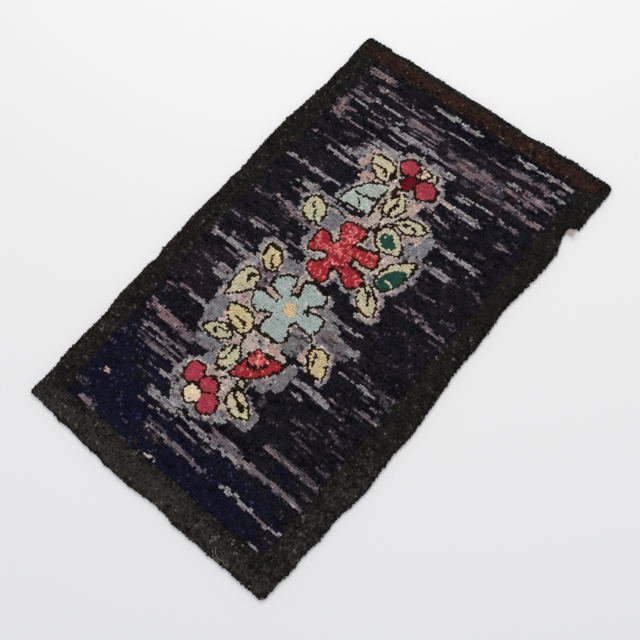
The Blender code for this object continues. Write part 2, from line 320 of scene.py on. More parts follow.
# Streaks in the ground, each hooked in a few rows across the rug
STREAKS = (
    # (from x, to x, y, height, mix: mauve unless named), from the far end, its left side first
    (-253, -190, 456, 13, "pink"), (-248, -228, 445, 5), (-95, 30, 459, 7, "light"),
    (-207, -163, 428, 14), (-163, -138, 434, 4), (-163, -140, 424, 4), (-137, -40, 436, 5),
    (-137, -38, 424, 5), (-25, 22, 428, 6, "light"), (-200, -115, 402, 5, "light"), (-108, -20, 405, 12),
    (-250, -218, 407, 6), (-252, -202, 394, 10), (-254, -200, 378, 6, "light"), (-200, -125, 373, 6),
    (-256, -236, 365, 28, "pink"), (-262, -225, 340, 28, "pink"), (-222, -205, 334, 8, "pink"),
    (-205, -140, 333, 5), (-235, -190, 356, 5), (-190, -133, 355, 6), (-138, -102, 385, 6, "light"),
    (-88, -70, 383, 8), (-60, -30, 383, 6), (-75, -25, 393, 6), (-128, 0, 368, 12, "light"),
    (-130, -70, 352, 6, "light"), (-143, -60, 325, 14, "light"), (-150, -95, 307, 7, "light"),
    (-155, -120, 298, 8), (-165, -110, 285, 12, "light"), (-182, -120, 274, 8, "light"),
    (-262, -238, 272, 10, "pink"), (-238, -180, 272, 5, "faint"), (-215, -95, 256, 11, "light"),
    (122, 262, 461, 8, "light"), (25, 88, 430, 5, "faint"), (93, 128, 428, 6), (128, 175, 433, 12),
    (175, 192, 430, 8), (192, 225, 432, 14), (225, 262, 433, 8, "light"), (232, 248, 444, 5),
    (140, 170, 407, 8, "light"), (175, 235, 405, 12), (240, 262, 407, 8), (190, 262, 396, 6),
    (182, 228, 386, 7), (0, 175, 390, 13, "dusk"), (20, 150, 376, 14, "dusk"), (175, 200, 373, 6, "dusk"),
    (0, 55, 366, 5, "light"), (75, 110, 356, 9, "faint"), (110, 225, 360, 13, "dusk"),
    (225, 262, 360, 13, "pink"), (0, 60, 346, 12, "light"), (75, 170, 329, 6, "light"),
    (175, 230, 326, 7), (75, 105, 318, 9, "light"), (155, 170, 320, 6, "faint"),
    (55, 95, 295, 10, "beige"), (95, 160, 293, 12, "light"), (205, 245, 284, 8),
    (248, 258, 284, 10, "pink"), (100, 145, 279, 4, "faint"), (45, 120, 258, 6, "light"),
    (122, 150, 257, 9, "light"), (40, 70, 274, 12, "beige"), (-260, -135, 199, 8, "light"),
    (-203, -100, 167, 12, "light"), (-100, -60, 161, 6, "light"), (-215, -160, 144, 6),
    (-218, -150, 108, 8), (-275, -215, 98, 7, "faint"), (-180, -145, 96, 12, "pink"),
    (-145, -105, 93, 8, "light"), (-150, -118, 56, 4), (-225, -150, 46, 4), (-150, -75, 42, 5),
    (-222, -165, 33, 8, "light"), (-270, -230, 26, 6), (-150, -75, 22, 6), (110, 225, 211, 9, "light"),
    (125, 193, 168, 12, "light"), (225, 250, 177, 8, "faint"), (128, 195, 117, 8, "faint"),
    (220, 250, 93, 12, "faint"), (135, 195, 76, 6), (180, 200, 68, 14), (200, 250, 64, 8),
    (135, 170, 64, 4), (80, 115, 12, 12), (-270, -140, -25, 12, "light"), (-230, -170, -8, 6),
    (-230, -170, -42, 6), (-205, -155, -84, 26, "light"), (-240, -215, -83, 6),
    (-210, -145, -160, 10, "light"), (-262, -240, -165, 14, "pink"), (-240, -207, -158, 8, "pink"),
    (-262, -165, -222, 18, "pink"), (-178, -118, -228, 16), (-130, -90, -222, 12), (-240, -105, -257, 9),
    (-240, -115, -271, 5), (-222, -120, -287, 8), (-140, -90, -312, 10, "light"), (-175, -150, -318, 6),
    (70, 125, -27, 7, "light"), (75, 148, -60, 18, "light"), (50, 120, -82, 20),
    (150, 215, -80, 6, "faint"), (225, 262, -88, 14, "faint"), (135, 180, -104, 6, "light"),
    (180, 215, -104, 9, "light"), (180, 220, -118, 6, "faint"), (225, 258, -120, 4), (210, 262, -138, 8),
    (150, 168, -153, 6, "pink"), (75, 172, -168, 13, "light"), (180, 215, -168, 8, "faint"),
    (85, 122, -188, 4, "light"), (-135, -50, -355, 20, "light"), (-50, 115, -356, 9, "light"),
    (20, 100, -340, 16), (100, 258, -346, 13), (125, 260, -298, 13, "dusk"), (-145, -50, -378, 6),
    (-50, 50, -375, 6), (-235, -212, -378, 9, "rose"), (-233, -183, -447, 9, "pink"), (-90, 82, -406, 8),
    (105, 262, -406, 8, "light"), (-45, -12, -449, 5, "beige"), (207, 262, -453, 6, "light"),
)
# What a streak or a patch is hooked in: yarns and how much of each, used up one after another along the rows
MIXES = {
    "mauve": (("streak_faint", 0.20), ("streak_mauve", 0.62), ("streak_pink", 0.12), ("streak_light", 0.06)),
    "pink": (("streak_faint", 0.16), ("streak_pink", 0.62), ("streak_mauve", 0.22)),
    "light": (("streak_mauve", 0.26), ("streak_light", 0.66), ("streak_faint", 0.08)),
    "faint": (("ground_plum", 0.26), ("streak_faint", 0.62), ("streak_mauve", 0.12)),
    "dusk": (("streak_faint", 0.56), ("streak_mauve", 0.26), ("streak_pink", 0.18)),
    "beige": (("halo_beige", 0.76), ("halo_rose", 0.14), ("streak_light", 0.10)),
    "rose": (("halo_rose", 0.66), ("halo_beige", 0.22), ("streak_mauve", 0.12)),
    "grey": (("halo_grey", 0.74), ("streak_light", 0.14), ("streak_mauve", 0.12)),
    "dim": (("halo_grey", 0.72), ("streak_faint", 0.28)),
    "lavender": (("halo_grey", 0.46), ("streak_mauve", 0.18), ("halo_blue", 0.36)),
    "blue grey": (("halo_blue", 0.78), ("halo_grey", 0.22)),
    "leaf_cream": (("leaf_cream", 0.93), ("leaf_yellow", 0.07)),
    "leaf_yellow": (("leaf_yellow", 0.88), ("leaf_cream", 0.12)),
    "leaf_green": (("leaf_green", 0.93), ("leaf_cream", 0.07)),
    # The pink loops scattered through the red flower stand partly for a paler yarn and partly for painted
    # glints
    "flower_red": (("flower_red", 0.90), ("flower_pink", 0.10)),
    "rosy": (("flower_red", 0.62), ("flower_pink", 0.38)),
    "cream_peach": (("cream_peach", 0.96), ("halo_rose", 0.04)),
    "tuft": (("cream_peach", 0.74), ("halo_rose", 0.26)),
    "bud heart": (("flower_red", 0.25), ("flower_pink", 0.75)),
    "rim": (("border_charcoal", 0.50), ("border_olive", 0.26), ("border_black", 0.24)),
}
# Mixes whose yarns change from loop to loop rather than in lengths
FLECKED_MIXES = {"flower_red": 0.8, "rosy": 0.8, "bud heart": 0.8, "tuft": 0.5}
# Dark places left in the light ground, and light places in it in their own mixes
HALO_HOLES = (
    # (x, y, half width, half height)
    (0, 8, 32, 6), (-92, 31, 22, 8), (-52, 173, 11, 4), (66, 249, 26, 9), (76, -150, 46, 8),
    (35, -236, 12, 9), (-124, 223, 10, 7), (-100, 173, 20, 3), (55, 10, 30, 8), (-135, 74, 32, 17),
    (22, 256, 10, 4),
)
HALO_PATCHES = (
    # (x, y, half width, half height, mix), from the far end to the near end
    (-118, 281, 8, 22, "rose"), (-45, 290, 8, 27, "beige"), (-84, 248, 26, 9, "rose"),
    (-20, 236, 8, 27, "rose"), (29, 250, 15, 26, "rose"), (30, 268, 26, 4, "light"),
    (-20, 187, 9, 26, "beige"), (76, 198, 19, 11, "rose"), (101, 193, 13, 25, "blue grey"),
    (84, 173, 18, 12, "lavender"), (-45, 161, 22, 6, "rose"), (-82, 128, 18, 22, "lavender"),
    (-57, 110, 10, 9, "beige"), (-2, 134, 7, 17, "beige"), (57, 118, 10, 30, "beige"),
    (24, 88, 26, 4, "beige"), (62, 80, 8, 12, "light"), (-94, 82, 6, 25, "light"),
    (-52, 60, 10, 8, "beige"), (-3, 44, 7, 14, "beige"), (-130, 99, 30, 6, "pink"),
    (-78, 6, 26, 10, "lavender"), (118, 120, 6, 34, "light"), (-118, -34, 26, 7, "mauve"),
    (-103, -60, 14, 11, "mauve"), (-74, -58, 26, 5, "rose"), (-34, -31, 8, 11, "rose"),
    (40, -27, 32, 9, "grey"), (70, -58, 19, 24, "grey"), (96, -70, 36, 15, "mauve"),
    (34, -113, 22, 24, "dim"), (62, -120, 9, 12, "rose"), (-112, -104, 11, 10, "rose"),
    (-60, -113, 19, 5, "rose"), (2, -146, 21, 8, "rose"), (33, -151, 11, 5, "beige"),
    (-36, -169, 12, 22, "beige"), (-66, -178, 8, 15, "rose"), (-141, -150, 17, 32, "lavender"),
    (-105, -213, 29, 10, "lavender"), (-76, -235, 14, 14, "blue grey"), (43, -216, 13, 12, "grey"),
    (62, -188, 15, 20, "grey"), (65, -160, 11, 16, "grey"), (-45, -251, 20, 9, "rose"),
    (-17, -263, 14, 22, "beige"), (6, -291, 10, 8, "beige"), (-108, -291, 11, 22, "light"),
    (-84, -319, 13, 14, "light"), (-50, -335, 40, 9, "light"), (14, -313, 18, 12, "light"),
    (60, -298, 22, 8, "grey"), (72, -276, 8, 15, "grey"), (62, -238, 9, 11, "faint"),
)
# Soft patches where the ground turns navy or plum, or with a minus sign stays free of it
NAVY_PATCHES = (
    # (x, y, half width, half height, strength)
    (-200, -350, 100, 115, 0.85), (20, -418, 245, 68, 0.85), (195, -311, 35, 20, 0.6),
    (60, 300, 220, 120, 0.10),
)
PLUM_PATCHES = (
    (90, 385, 190, 60, 0.8), (-150, 420, 120, 60, 0.6), (150, 60, 140, 160, 0.35),
    (-200, 60, 90, 160, 0.50), (-215, -110, 70, 60, 0.8), (-210, 228, 60, 40, 0.6),
    (0, -428, 160, 40, 0.5), (60, 456, 170, 26, -0.8),
)
# Soft patches of painted light that make the border lighter, or with a minus sign painted shade that keeps
# it darker
BORDER_LIGHT_AND_SHADE_PATCHES = (
    (-305, -505, 60, 34, 0.9), (-120, -490, 170, 34, 1.15), (110, -488, 210, 34, 1.25),
    (300, -330, 32, 190, 0.75), (-305, -300, 26, 160, 0.35), (295, 290, 40, 170, -0.8),
    (-300, 320, 30, 160, -0.4),
)
# Yarns hooked into the charcoal ground, each over the one before, wherever these shares add up to enough
GROUND_YARNS = (
    # (yarn, shares of: streaky noise, each loop's own, cloudy noise, plum patches, navy patches; enough)
    ("ground_black", 1.0, 1.0, 0.0, -0.6, 0.0, 0.45),
    ("ground_plum", -1.0, 1.0, 0.4, 1.5, 0.0, 1.0),
    ("streak_faint", -1.0, 0.3, 0.6, 0.0, 0.0, 1.12),
    ("ground_navy", 0.7, 1.0, -0.5, 0.0, 2.0, 1.15),
)
GROUND_LOOSENESS = 0.34
BORDER_PATCHINESS = 0.4
BORDER_LOOSENESS = 0.5


def linear(channel):
    """A channel from 0 to 255, as it is seen on a screen, as an amount of light."""
    share = channel / 255
    return share / 12.92 if share <= 0.04045 else ((share + 0.055) / 1.055) ** 2.4


def dyed(name, red, green, blue, description):
    """A colour that the user may change, with its default as it is seen on a screen."""
    return FloatVectorProperty(
        name=name,
        description=description,
        subtype="COLOR",
        size=3,
        min=0.0,
        max=1.0,
        default=(linear(red), linear(green), linear(blue)),
    )


def length(name, description, millimetres, low=0.0, high=100.0):
    """A length that the user may change, given in millimetres and kept in metres."""
    return FloatProperty(
        name=name,
        description=description,
        subtype="DISTANCE",
        unit="LENGTH",
        precision=5,
        default=millimetres * MM,
        min=low * MM,
        max=high * MM,
    )


def angle(name, description, degrees):
    """An angle that the user may change, given in degrees."""
    return FloatProperty(name=name, description=description, subtype="ANGLE", default=math.radians(degrees))


def amount(name, description, default, high, unit="NONE"):
    """A number from 0 up that the user may change."""
    return FloatProperty(name=name, description=description, default=default, min=0.0, max=high, unit=unit)


def smooth_step(share):
    """0 at 0, 1 at 1, level at both ends, for a whole array."""
    held = np.clip(share, 0.0, 1.0)
    return held * held * (3.0 - 2.0 * held)


def drawn_noise(points, size_x, size_y, layer):
    """Soft noise from about -1 to 1, its lumps this large; a layer of its own keeps each use different."""
    return np.array([noise.noise(Vector((x / size_x, y / size_y, layer))) for x, y in points]) * 1.6


def on_rug(design):
    """Points of the design, in millimetres, as metres in the rug's frame."""
    return (np.asarray(design, float) + DESIGN_SHIFT) * MM


def in_design(points):
    """Points of the rug's frame as millimetres in the design."""
    return points / MM - DESIGN_SHIFT


def inside(outline, points):
    """Which points lie inside a closed outline."""
    x, y = points[:, :1], points[:, 1:]
    from_x, from_y = outline.T
    to_x, to_y = np.roll(outline, -1, axis=0).T
    crosses = (from_y > y) != (to_y > y)
    rise = np.where(to_y == from_y, 1.0, to_y - from_y)
    crossed_at = from_x + (y - from_y) * (to_x - from_x) / rise
    return np.count_nonzero(crosses & (x < crossed_at), axis=1) % 2 == 1


def spaced(path, spacing, closed):
    """Points at an even spacing along a path, and the angle at which the path runs there."""
    path = np.asarray(path, float)
    if closed:
        path = np.vstack([path, path[:1]])
    travelled = np.concatenate([[0.0], np.cumsum(np.linalg.norm(np.diff(path, axis=0), axis=1))])
    count = max(2, round(travelled[-1] / spacing))
    at = np.arange(count + (not closed)) * travelled[-1] / count

    def place(distance):
        if closed:
            distance = distance % travelled[-1]
        return np.stack([np.interp(distance, travelled, column) for column in path.T], 1)

    step = place(at + spacing / 3) - place(at - spacing / 3)
    return place(at), np.arctan2(step[:, 1], step[:, 0])


def close_pairs(points, reach):
    """Pairs of points nearer each other than this, as two arrays of indices."""
    cells = np.floor(points / reach).astype(np.int64)
    cells -= cells.min(axis=0)
    column = int(cells[:, 1].max()) + 3
    key = cells[:, 0] * column + cells[:, 1]
    order = np.argsort(key, kind="stable")
    keys = key[order]
    firsts, seconds = [], []
    for step in (0, 1, column - 1, column, column + 1):
        start = np.searchsorted(keys, keys + step, "left")
        stop = np.searchsorted(keys, keys + step, "right")
        if step == 0:
            start = np.arange(len(keys)) + 1
        for skip in range(int((stop - start).max(initial=0))):
            has = stop - start > skip
            firsts.append(order[has])
            seconds.append(order[(start + skip)[has]])
    first, second = np.concatenate(firsts), np.concatenate(seconds)
    near = np.linalg.norm(points[first] - points[second], axis=1) < reach
    return first[near], second[near]


def tree_of(points):
    """A search tree over points in the plane."""
    tree = kdtree.KDTree(len(points))
    for index, (x, y) in enumerate(points):
        tree.insert((x, y, 0.0), index)
    tree.balance()
    return tree


def nearest(tree, points):
    """The nearest point of the tree to each point, and its distance."""
    found = [tree.find((x, y, 0.0)) for x, y in points]
    return np.array([hit[0][:2] for hit in found]), np.array([hit[2] for hit in found])


class RugForm:
    """The outline and the height of the pile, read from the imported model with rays."""

    SLICE_HEIGHT = 0.0055
    STATION = 0.004
    CORNER = 0.045
    EDGE_REACH = 0.075
    WORN_FROM = 0.335
    WORN_TO = 0.402
    # How far the loops over each edge bulge past the model's
    BULGE_LEFT = 0.0025
    BULGE_RIGHT = 0.0035
    BULGE_NEAR = 0.0030
    BULGE_FAR = 0.0040

    def __init__(self):
        bm = bmesh.new()
        bm.from_mesh(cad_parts[PILE_NODE].data)
        self.tree = BVHTree.FromBMesh(bm)
        bm.free()
        low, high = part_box(PILE_NODE)
        self.half_width = (high[0] - low[0]) / 2
        self.half_length = (high[1] - low[1]) / 2
        self.halves = np.array([self.half_width, self.half_length])
        self.top = high[2]
        along_y = self.stations(self.half_length)
        along_x = self.stations(self.half_width)
        left, right = self.edge((-1, 0), along_y), self.edge((1, 0), along_y)
        near, far = self.edge((0, -1), along_x), self.edge((0, 1), along_x)
        self.rim = self.closed_rim(left, right, near, far)
        self.along_x, self.along_y = along_x, along_y
        whole = (along_y < self.WORN_FROM) | (along_y > self.WORN_TO)
        self.left_inset = left[:, 0] + self.half_width
        self.worn_inset = self.half_width - right[:, 0]
        self.right_inset = np.interp(along_y, along_y[whole], self.worn_inset[whole])
        self.near_inset = near[:, 1] + self.half_length
        self.far_inset = self.half_length - far[:, 1]

    def stations(self, half):
        inner = half - self.CORNER
        return np.linspace(-inner, inner, round(2 * inner / self.STATION) + 1)

    def edge(self, side, stations):
        """Points of the rim where level rays from outside this side meet it, out where its loops reach."""
        inward = Vector((-side[0], -side[1], 0.0))
        points = []
        for at in stations:
            place = (side[0], at) if side[0] else (at, side[1])
            hit = self.tree.ray_cast(Vector((*place, self.SLICE_HEIGHT)), inward)[0]
            points.append((hit.x, hit.y))
        points = np.array(points)
        wider = np.where(points[:, 0] > 0, self.BULGE_RIGHT, self.BULGE_LEFT) / self.half_width
        longer = np.where(points[:, 1] > 0, self.BULGE_FAR, self.BULGE_NEAR) / self.half_length
        return points * (1.0 + np.stack([wider, longer], 1))

    def closed_rim(self, left, right, near, far):
        """The rim as one closed outline, anticlockwise from the near end of the right-hand edge."""
        quarter = np.linspace(0.0, math.pi / 2, 9)
        parts = []
        turns = (
            (right, (1, 1), right[-1, 0], far[-1, 1]),
            (far[::-1], (-1, 1), left[-1, 0], far[0, 1]),
            (left[::-1], (-1, -1), left[0, 0], near[0, 1]),
            (near, (1, -1), right[0, 0], near[-1, 1]),
        )
        for edge, side, corner_x, corner_y in turns:
            radius = CORNER_RADIUS[side]
            angles = quarter if side[0] == side[1] else math.pi / 2 - quarter
            arc_x = corner_x - side[0] * radius * (1.0 - np.cos(angles))
            arc_y = corner_y - side[1] * radius * (1.0 - np.sin(angles))
            parts += [edge, np.stack([arc_x, arc_y], 1)]
        return np.vstack(parts)

    def carry(self, points, worn=False):
        """Carries points of the plain rectangle to the rug's uneven outline, its worn place in it or not."""
        x, y = points.T
        right_inset = self.worn_inset if worn else self.right_inset
        left = np.interp(y, self.along_y, self.left_inset) * self.pull(self.half_width + x)
        right = np.interp(y, self.along_y, right_inset) * self.pull(self.half_width - x)
        near = np.interp(x, self.along_x, self.near_inset) * self.pull(self.half_length + y)
        far = np.interp(x, self.along_x, self.far_inset) * self.pull(self.half_length - y)
        return self.rounded(points) + np.stack([left - right, near - far], 1)

    def rounded(self, points):
        """Moves points of the plain rectangle so that its corners become round."""
        moved = points.copy()
        for side, radius in CORNER_RADIUS.items():
            inner = radius - (self.halves - np.array(side) * points)
            near = (inner > 0.0).all(axis=1)
            scale = inner[near].max(axis=1) / np.hypot(*inner[near].T)
            moved[near] = np.array(side) * (self.halves - radius + inner[near] * scale[:, None])
        return moved

    def pull(self, distance):
        return 1.0 - smooth_step(distance / self.EDGE_REACH)

    def heights(self, points, missing):
        """Height of the pile's surface over each point, or the given height where there is none."""
        down = Vector((0.0, 0.0, -1.0))
        found = []
        for x, y in points:
            hit = self.tree.ray_cast(Vector((x, y, self.top + 0.01)), down)[0]
            found.append(missing if hit is None else hit.z)
        return np.array(found)


def leaf_outline(base, tip, width, fullest, base_power, tip_power, bend=0.0):
    """Closed outline of a leaf: its half width follows a sine whose powers blunt or sharpen its ends."""
    turned = BAR_SHARES ** (math.log(0.5) / math.log(fullest))
    power = np.where(BAR_SHARES < fullest, base_power, tip_power)
    half = width / 2 * np.maximum(np.sin(math.pi * turned), 0.0) ** power
    return bar_outline(base, tip, half, bend)


def petal_outline(base, tip, neck, end, squareness):
    """Closed outline of a petal that widens from its neck and is rounded off at its end."""
    widened = smooth_step((BAR_SHARES - PETAL_WIDENS_FROM) / PETAL_WIDENS_OVER)
    half = neck / 2 + (end - neck) / 2 * widened
    past = np.clip((BAR_SHARES - PETAL_ROUND_FROM) / (1.0 - PETAL_ROUND_FROM), 0.0, 1.0)
    return bar_outline(base, tip, half * (1.0 - past**squareness) ** (1.0 / squareness), 0.0)


def bar_outline(base, tip, half, bend):
    """Closed outline from base to tip, with these half widths, that bends this far to the left."""
    base, tip = np.array(base, float), np.array(tip, float)
    along = tip - base
    across = np.array([-along[1], along[0]]) / np.hypot(*along)
    aside = bend * np.sin(math.pi * BAR_SHARES)
    middle = base + BAR_SHARES[:, None] * along + aside[:, None] * across
    left = middle + half[:, None] * across
    right = middle - half[:, None] * across
    return np.vstack([left, right[::-1]])


def round_outline(x, y, half_width, half_height, turn=0.0):
    """Closed outline of an oval, turned by this many degrees."""
    angles = np.linspace(0.0, 2 * math.pi, 60, endpoint=False)
    flat = np.stack([half_width * np.cos(angles), half_height * np.sin(angles)], 1)
    cosine, sine = math.cos(math.radians(turn)), math.sin(math.radians(turn))
    return flat @ np.array([[cosine, sine], [-sine, cosine]]) + (x, y)


def fan_outline(corner, first, second, fullness):
    """Closed outline of a quarter round between two straight sides that meet in a corner."""
    corner, first, second = (np.array(point, float) for point in (corner, first, second))
    angles = np.linspace(0.0, math.pi / 2, 24)
    to_first = np.cos(angles) ** (2.0 / fullness)
    to_second = np.sin(angles) ** (2.0 / fullness)
    arc = corner + to_first[:, None] * (first - corner) + to_second[:, None] * (second - corner)
    return np.vstack([corner, arc])


def hand_drawn(path, closed):
    """A path at an even spacing, uneven as a hand draws it; neighbouring lines stray alike."""
    points = spaced(path, DRAWN_STEP, closed)[0]
    strays = [drawn_noise(points, WOBBLE_LENGTH, WOBBLE_LENGTH, layer) for layer in (21.5, 23.5)]
    return points + WOBBLE * np.stack(strays, 1)


def motifs():
    """Each motif's yarn, outline and bunch, in the order in which they cover each other."""
    drawn = [(leaf[0], leaf_outline(*leaf[1:]), None) for leaf in LEAVES]
    drawn += [(fan[0], fan_outline(*fan[1:]), None) for fan in FANS]
    for flower in FLOWERS:
        parts = [round_outline(*flower["core"])]
        parts += [petal_outline(*petal) for petal in flower["petals"]]
        parts += [fan_outline(*fan) for fan in flower["fans"]]
        drawn += [(flower["yarn"], part, flower["yarn"]) for part in parts]
    drawn += [(berry[0], round_outline(*berry[1:5]), berry[5]) for berry in BERRIES]
    return [(yarn, hand_drawn(outline, True), bunch) for yarn, outline, bunch in drawn]


def dark_rows(drawn, spacing):
    """The loops of the single dark rows, round the motifs and along veins and stalks, and their turns."""
    places, turns = [], []
    for index, (_, outline, bunch) in enumerate(drawn):
        at, turn = spaced(outline, spacing, True)
        hidden = np.zeros(len(at), bool)
        for other, (_, cover, of_bunch) in enumerate(drawn):
            if other > index or (bunch is not None and of_bunch == bunch and other != index):
                hidden |= inside(cover, at)
        places.append(at[~hidden])
        turns.append(turn[~hidden])
    for line in DARK_LINES:
        at, turn = spaced(hand_drawn(line, False), spacing, False)
        places.append(at)
        turns.append(turn)
    return np.vstack(places), np.concatenate(turns)


def crowded(points, gap, staying=0):
    """Which points are nearer than this to an earlier one that is kept; the first few all stay."""
    first, second = close_pairs(points, gap)
    gone = np.zeros(len(points), bool)
    for early, late in sorted(zip(np.minimum(first, second), np.maximum(first, second))):
        if not gone[early] and late >= staying:
            gone[late] = True
    return gone


def border_rows(form, pile):
    """Loops in rows along the four edges, mitred at the corners: places in the plain rectangle and turns."""
    halves = form.halves
    widths = {
        (-1, 0): pile.border_left,
        (1, 0): pile.border_right,
        (0, -1): pile.border_near,
        (0, 1): pile.border_far,
    }
    places, turns = [], []
    for side, width in widths.items():
        axis = 0 if side[0] else 1
        low_side = (0, -1) if axis == 0 else (-1, 0)
        high_side = (0, 1) if axis == 0 else (1, 0)
        for row in range(round((width - pile.rim_inset) / pile.row_pitch) + 1):
            depth = pile.rim_inset + row * pile.row_pitch
            start = -halves[1 - axis] + depth * widths[low_side] / width
            stop = halves[1 - axis] - depth * widths[high_side] / width
            count = round((stop - start) / pile.loop_pitch)
            shift = 0.5 * (1 + ROW_STAGGER * (row % 2))
            along = start + (np.arange(count) + shift) * (stop - start) / (count + 0.5)
            across = np.full(count, side[axis] * (halves[axis] - depth))
            places.append(np.stack([across, along] if axis == 0 else [along, across], 1))
            turns.append(np.full(count, math.pi / 2 if axis == 0 else 0.0))
    return np.vstack(places), np.concatenate(turns)


def ground_rows(form, pile, rng):
    """Loops in rows across the rug, inside the border: places in the plain rectangle and turns."""
    gap = pile.row_pitch * GROUND_GAP
    start = -form.half_width + pile.border_left + gap
    stop = form.half_width - pile.border_right - gap
    low = -form.half_length + pile.border_near + gap
    high = form.half_length - pile.border_far - gap
    places = []
    for y in np.linspace(low, high, round((high - low) / pile.row_pitch) + 1):
        count = round((stop - start) / pile.loop_pitch)
        x = start + (np.arange(count) + rng.uniform(*ROW_START)) * (stop - start) / count
        places.append(np.stack([x, np.full(count, y)], 1))
    places = np.vstack(places)
    return places, np.zeros(len(places))


def in_patch(points, patch, ragged):
    """Which points lie in a patch with rounded corners and a ragged edge."""
    across, along = (np.abs(points - patch[:2]) / patch[2:4]).T
    return across**PATCH_SQUARENESS + along**PATCH_SQUARENESS + PATCH_RAGGED * ragged < 1.0


def strength_of(points, patches):
    """How strongly soft patches colour each point."""
    strength = np.zeros(len(points))
    for x, y, half_width, half_height, most in patches:
        from_middle = np.hypot(*((points - (x, y)) / (half_width, half_height)).T)
        strength += most * (1.0 - smooth_step(from_middle - PATCH_SOFT_FROM))
    return strength


class HookingPlan:
    """Where each loop stands, how it is turned, how it leans and which yarn it is hooked in."""

    def __init__(self, pile):
        self.form = RugForm()
        self.pile = pile
        self.row = pile.row_pitch / MM
        self.rng = np.random.default_rng(pile.seed)
        self.rim_tree = tree_of(spaced(self.form.rim, 0.001, True)[0])
        self.drawn = motifs()
        self.lines, line_turns = dark_rows(self.drawn, pile.outline_pitch / MM)
        rows_from = self.lines[:, 1] / self.row
        self.lines[:, 1] += STEP_TO_ROWS * (np.round(rows_from) - rows_from) * self.row
        self.lines = on_rug(self.lines)
        kept = ~crowded(self.lines, pile.outline_pitch * OUTLINE_GAP)
        self.lines, line_turns = self.lines[kept], line_turns[kept]
        self.line_tree = tree_of(on_rug(dark_rows(self.drawn, FINE_SPACING)[0]))
        rows, turns, plain = self.rows()
        kept = self.clear_of_lines(rows)
        self.places = np.vstack([self.lines, rows[kept]])
        self.plain = np.vstack([in_design(self.lines), plain[kept]])
        self.turns = np.concatenate([line_turns, turns[kept]])
        self.ease_apart()
        self.fill_gaps(self.lines.min(axis=0) - 0.01, self.lines.max(axis=0) + 0.01)
        self.keep(self.inside_rim())
        self.fill_gaps(*WORN_PLACE)
        self.name_yarns()
        self.add_rim_loops()
        self.raise_loops()

    def rows(self):
        """All loops in rows on the rug, their turns, and their places in the plain rows of the design."""
        border, border_turns = border_rows(self.form, self.pile)
        ground, ground_turns = ground_rows(self.form, self.pile, self.rng)
        rows = np.vstack([border, ground])
        plain = in_design(rows)
        held = smooth_step((self.form.halves - np.abs(rows)).min(axis=1) / WAVER_HELD_OVER)
        waver = drawn_noise(rows, 0.075, 0.030, 12.5) + 0.5 * drawn_noise(rows, 0.018, 0.012, 14.5)
        waver *= self.pile.waver * held
        rows += self.rng.normal(0.0, self.pile.unevenness, rows.shape)
        rows[:, 1] += waver
        return self.form.carry(rows), np.concatenate([border_turns, ground_turns]), plain

    def clear_of_lines(self, rows):
        """Which loops don't stand in a dark row's way."""
        low, high = self.lines.min(axis=0) - 0.02, self.lines.max(axis=0) + 0.02
        close = np.flatnonzero(((rows > low) & (rows < high)).all(axis=1))
        distance = nearest(tree_of(self.lines), rows[close])[1]
        kept = np.ones(len(rows), bool)
        kept[close[distance < BESIDE_LINE * self.pile.loop_pitch]] = False
        return kept

    def ease_apart(self):
        """Pushes crowded loops apart, round the dark rows, which stay, and leaves out what doesn't fit."""
        reach = self.pile.loop_pitch * EASED_GAP
        for _ in range(EASE_ROUNDS):
            first, second = close_pairs(self.places, reach)
            apart = self.places[first] - self.places[second]
            distance = np.maximum(np.linalg.norm(apart, axis=1), 1e-6)
            push = apart * ((reach - distance) / distance * 0.5)[:, None]
            moved = np.zeros_like(self.places)
            np.add.at(moved, first, push)
            np.add.at(moved, second, -push)
            moved[: len(self.lines)] = 0.0
            self.places += moved
        self.keep(~crowded(self.places, self.pile.loop_pitch * CROWDED_GAP, len(self.lines)))

    def fill_gaps(self, low, high):
        """Hooks one more loop wherever those of a stretch of the rug stand too far apart."""
        step = self.pile.loop_pitch / 3
        x, y = np.meshgrid(np.arange(low[0], high[0], step), np.arange(low[1], high[1], step))
        spots = np.stack([x.ravel(), y.ravel()], 1)
        spots = spots[inside(self.form.rim, spots)]
        spots = spots[nearest(self.rim_tree, spots)[1] > FILLED_INSIDE * self.pile.rim_inset]
        distance = nearest(tree_of(self.places), spots)[1]
        widest_first = np.argsort(-distance, kind="stable")
        gaps = spots[widest_first][distance[widest_first] > GAP_FROM * self.pile.loop_pitch]
        gaps = gaps[~crowded(gaps, FILLED_GAP * self.pile.loop_pitch)]
        self.add_loops(gaps, np.zeros(len(gaps)))

    def add_loops(self, places, turns):
        self.places = np.vstack([self.places, places])
        self.plain = np.vstack([self.plain, in_design(places)])
        self.turns = np.concatenate([self.turns, turns])

    def keep(self, kept):
        self.places, self.turns, self.plain = self.places[kept], self.turns[kept], self.plain[kept]

    def inside_rim(self):
        """Moves loops that lie over the rim inside it, and says which are kept."""
        chosen = np.flatnonzero((np.abs(self.places) > self.form.halves - EDGE_BAND).any(axis=1))
        edge, distance = nearest(self.rim_tree, self.places[chosen])
        depth = np.where(inside(self.form.rim, self.places[chosen]), distance, -distance)
        inward = (self.places[chosen] - edge) / np.where(np.abs(depth) < 1e-6, 1e-6, depth)[:, None]
        shallow = depth < self.pile.rim_inset
        self.places[chosen[shallow]] = (edge + inward * self.pile.rim_inset)[shallow]
        kept = np.ones(len(self.places), bool)
        kept[chosen[depth < -LOST_PAST_RIM]] = False
        first, second = close_pairs(self.places, self.pile.loop_pitch * RIM_CROWDED_GAP)
        kept[np.maximum(first, second)] = False
        return kept

    def name_yarns(self):
        """Chooses each loop's yarn from where it lies in the design."""
        design = in_design(self.places)
        yarns = self.ground_yarns(design)
        self.put_streaks(yarns)
        self.put_halo(design, yarns)
        self.put_border(design, yarns)
        self.put_motifs(design, yarns)
        self.put_outlines(design, yarns)
        self.yarns = yarns

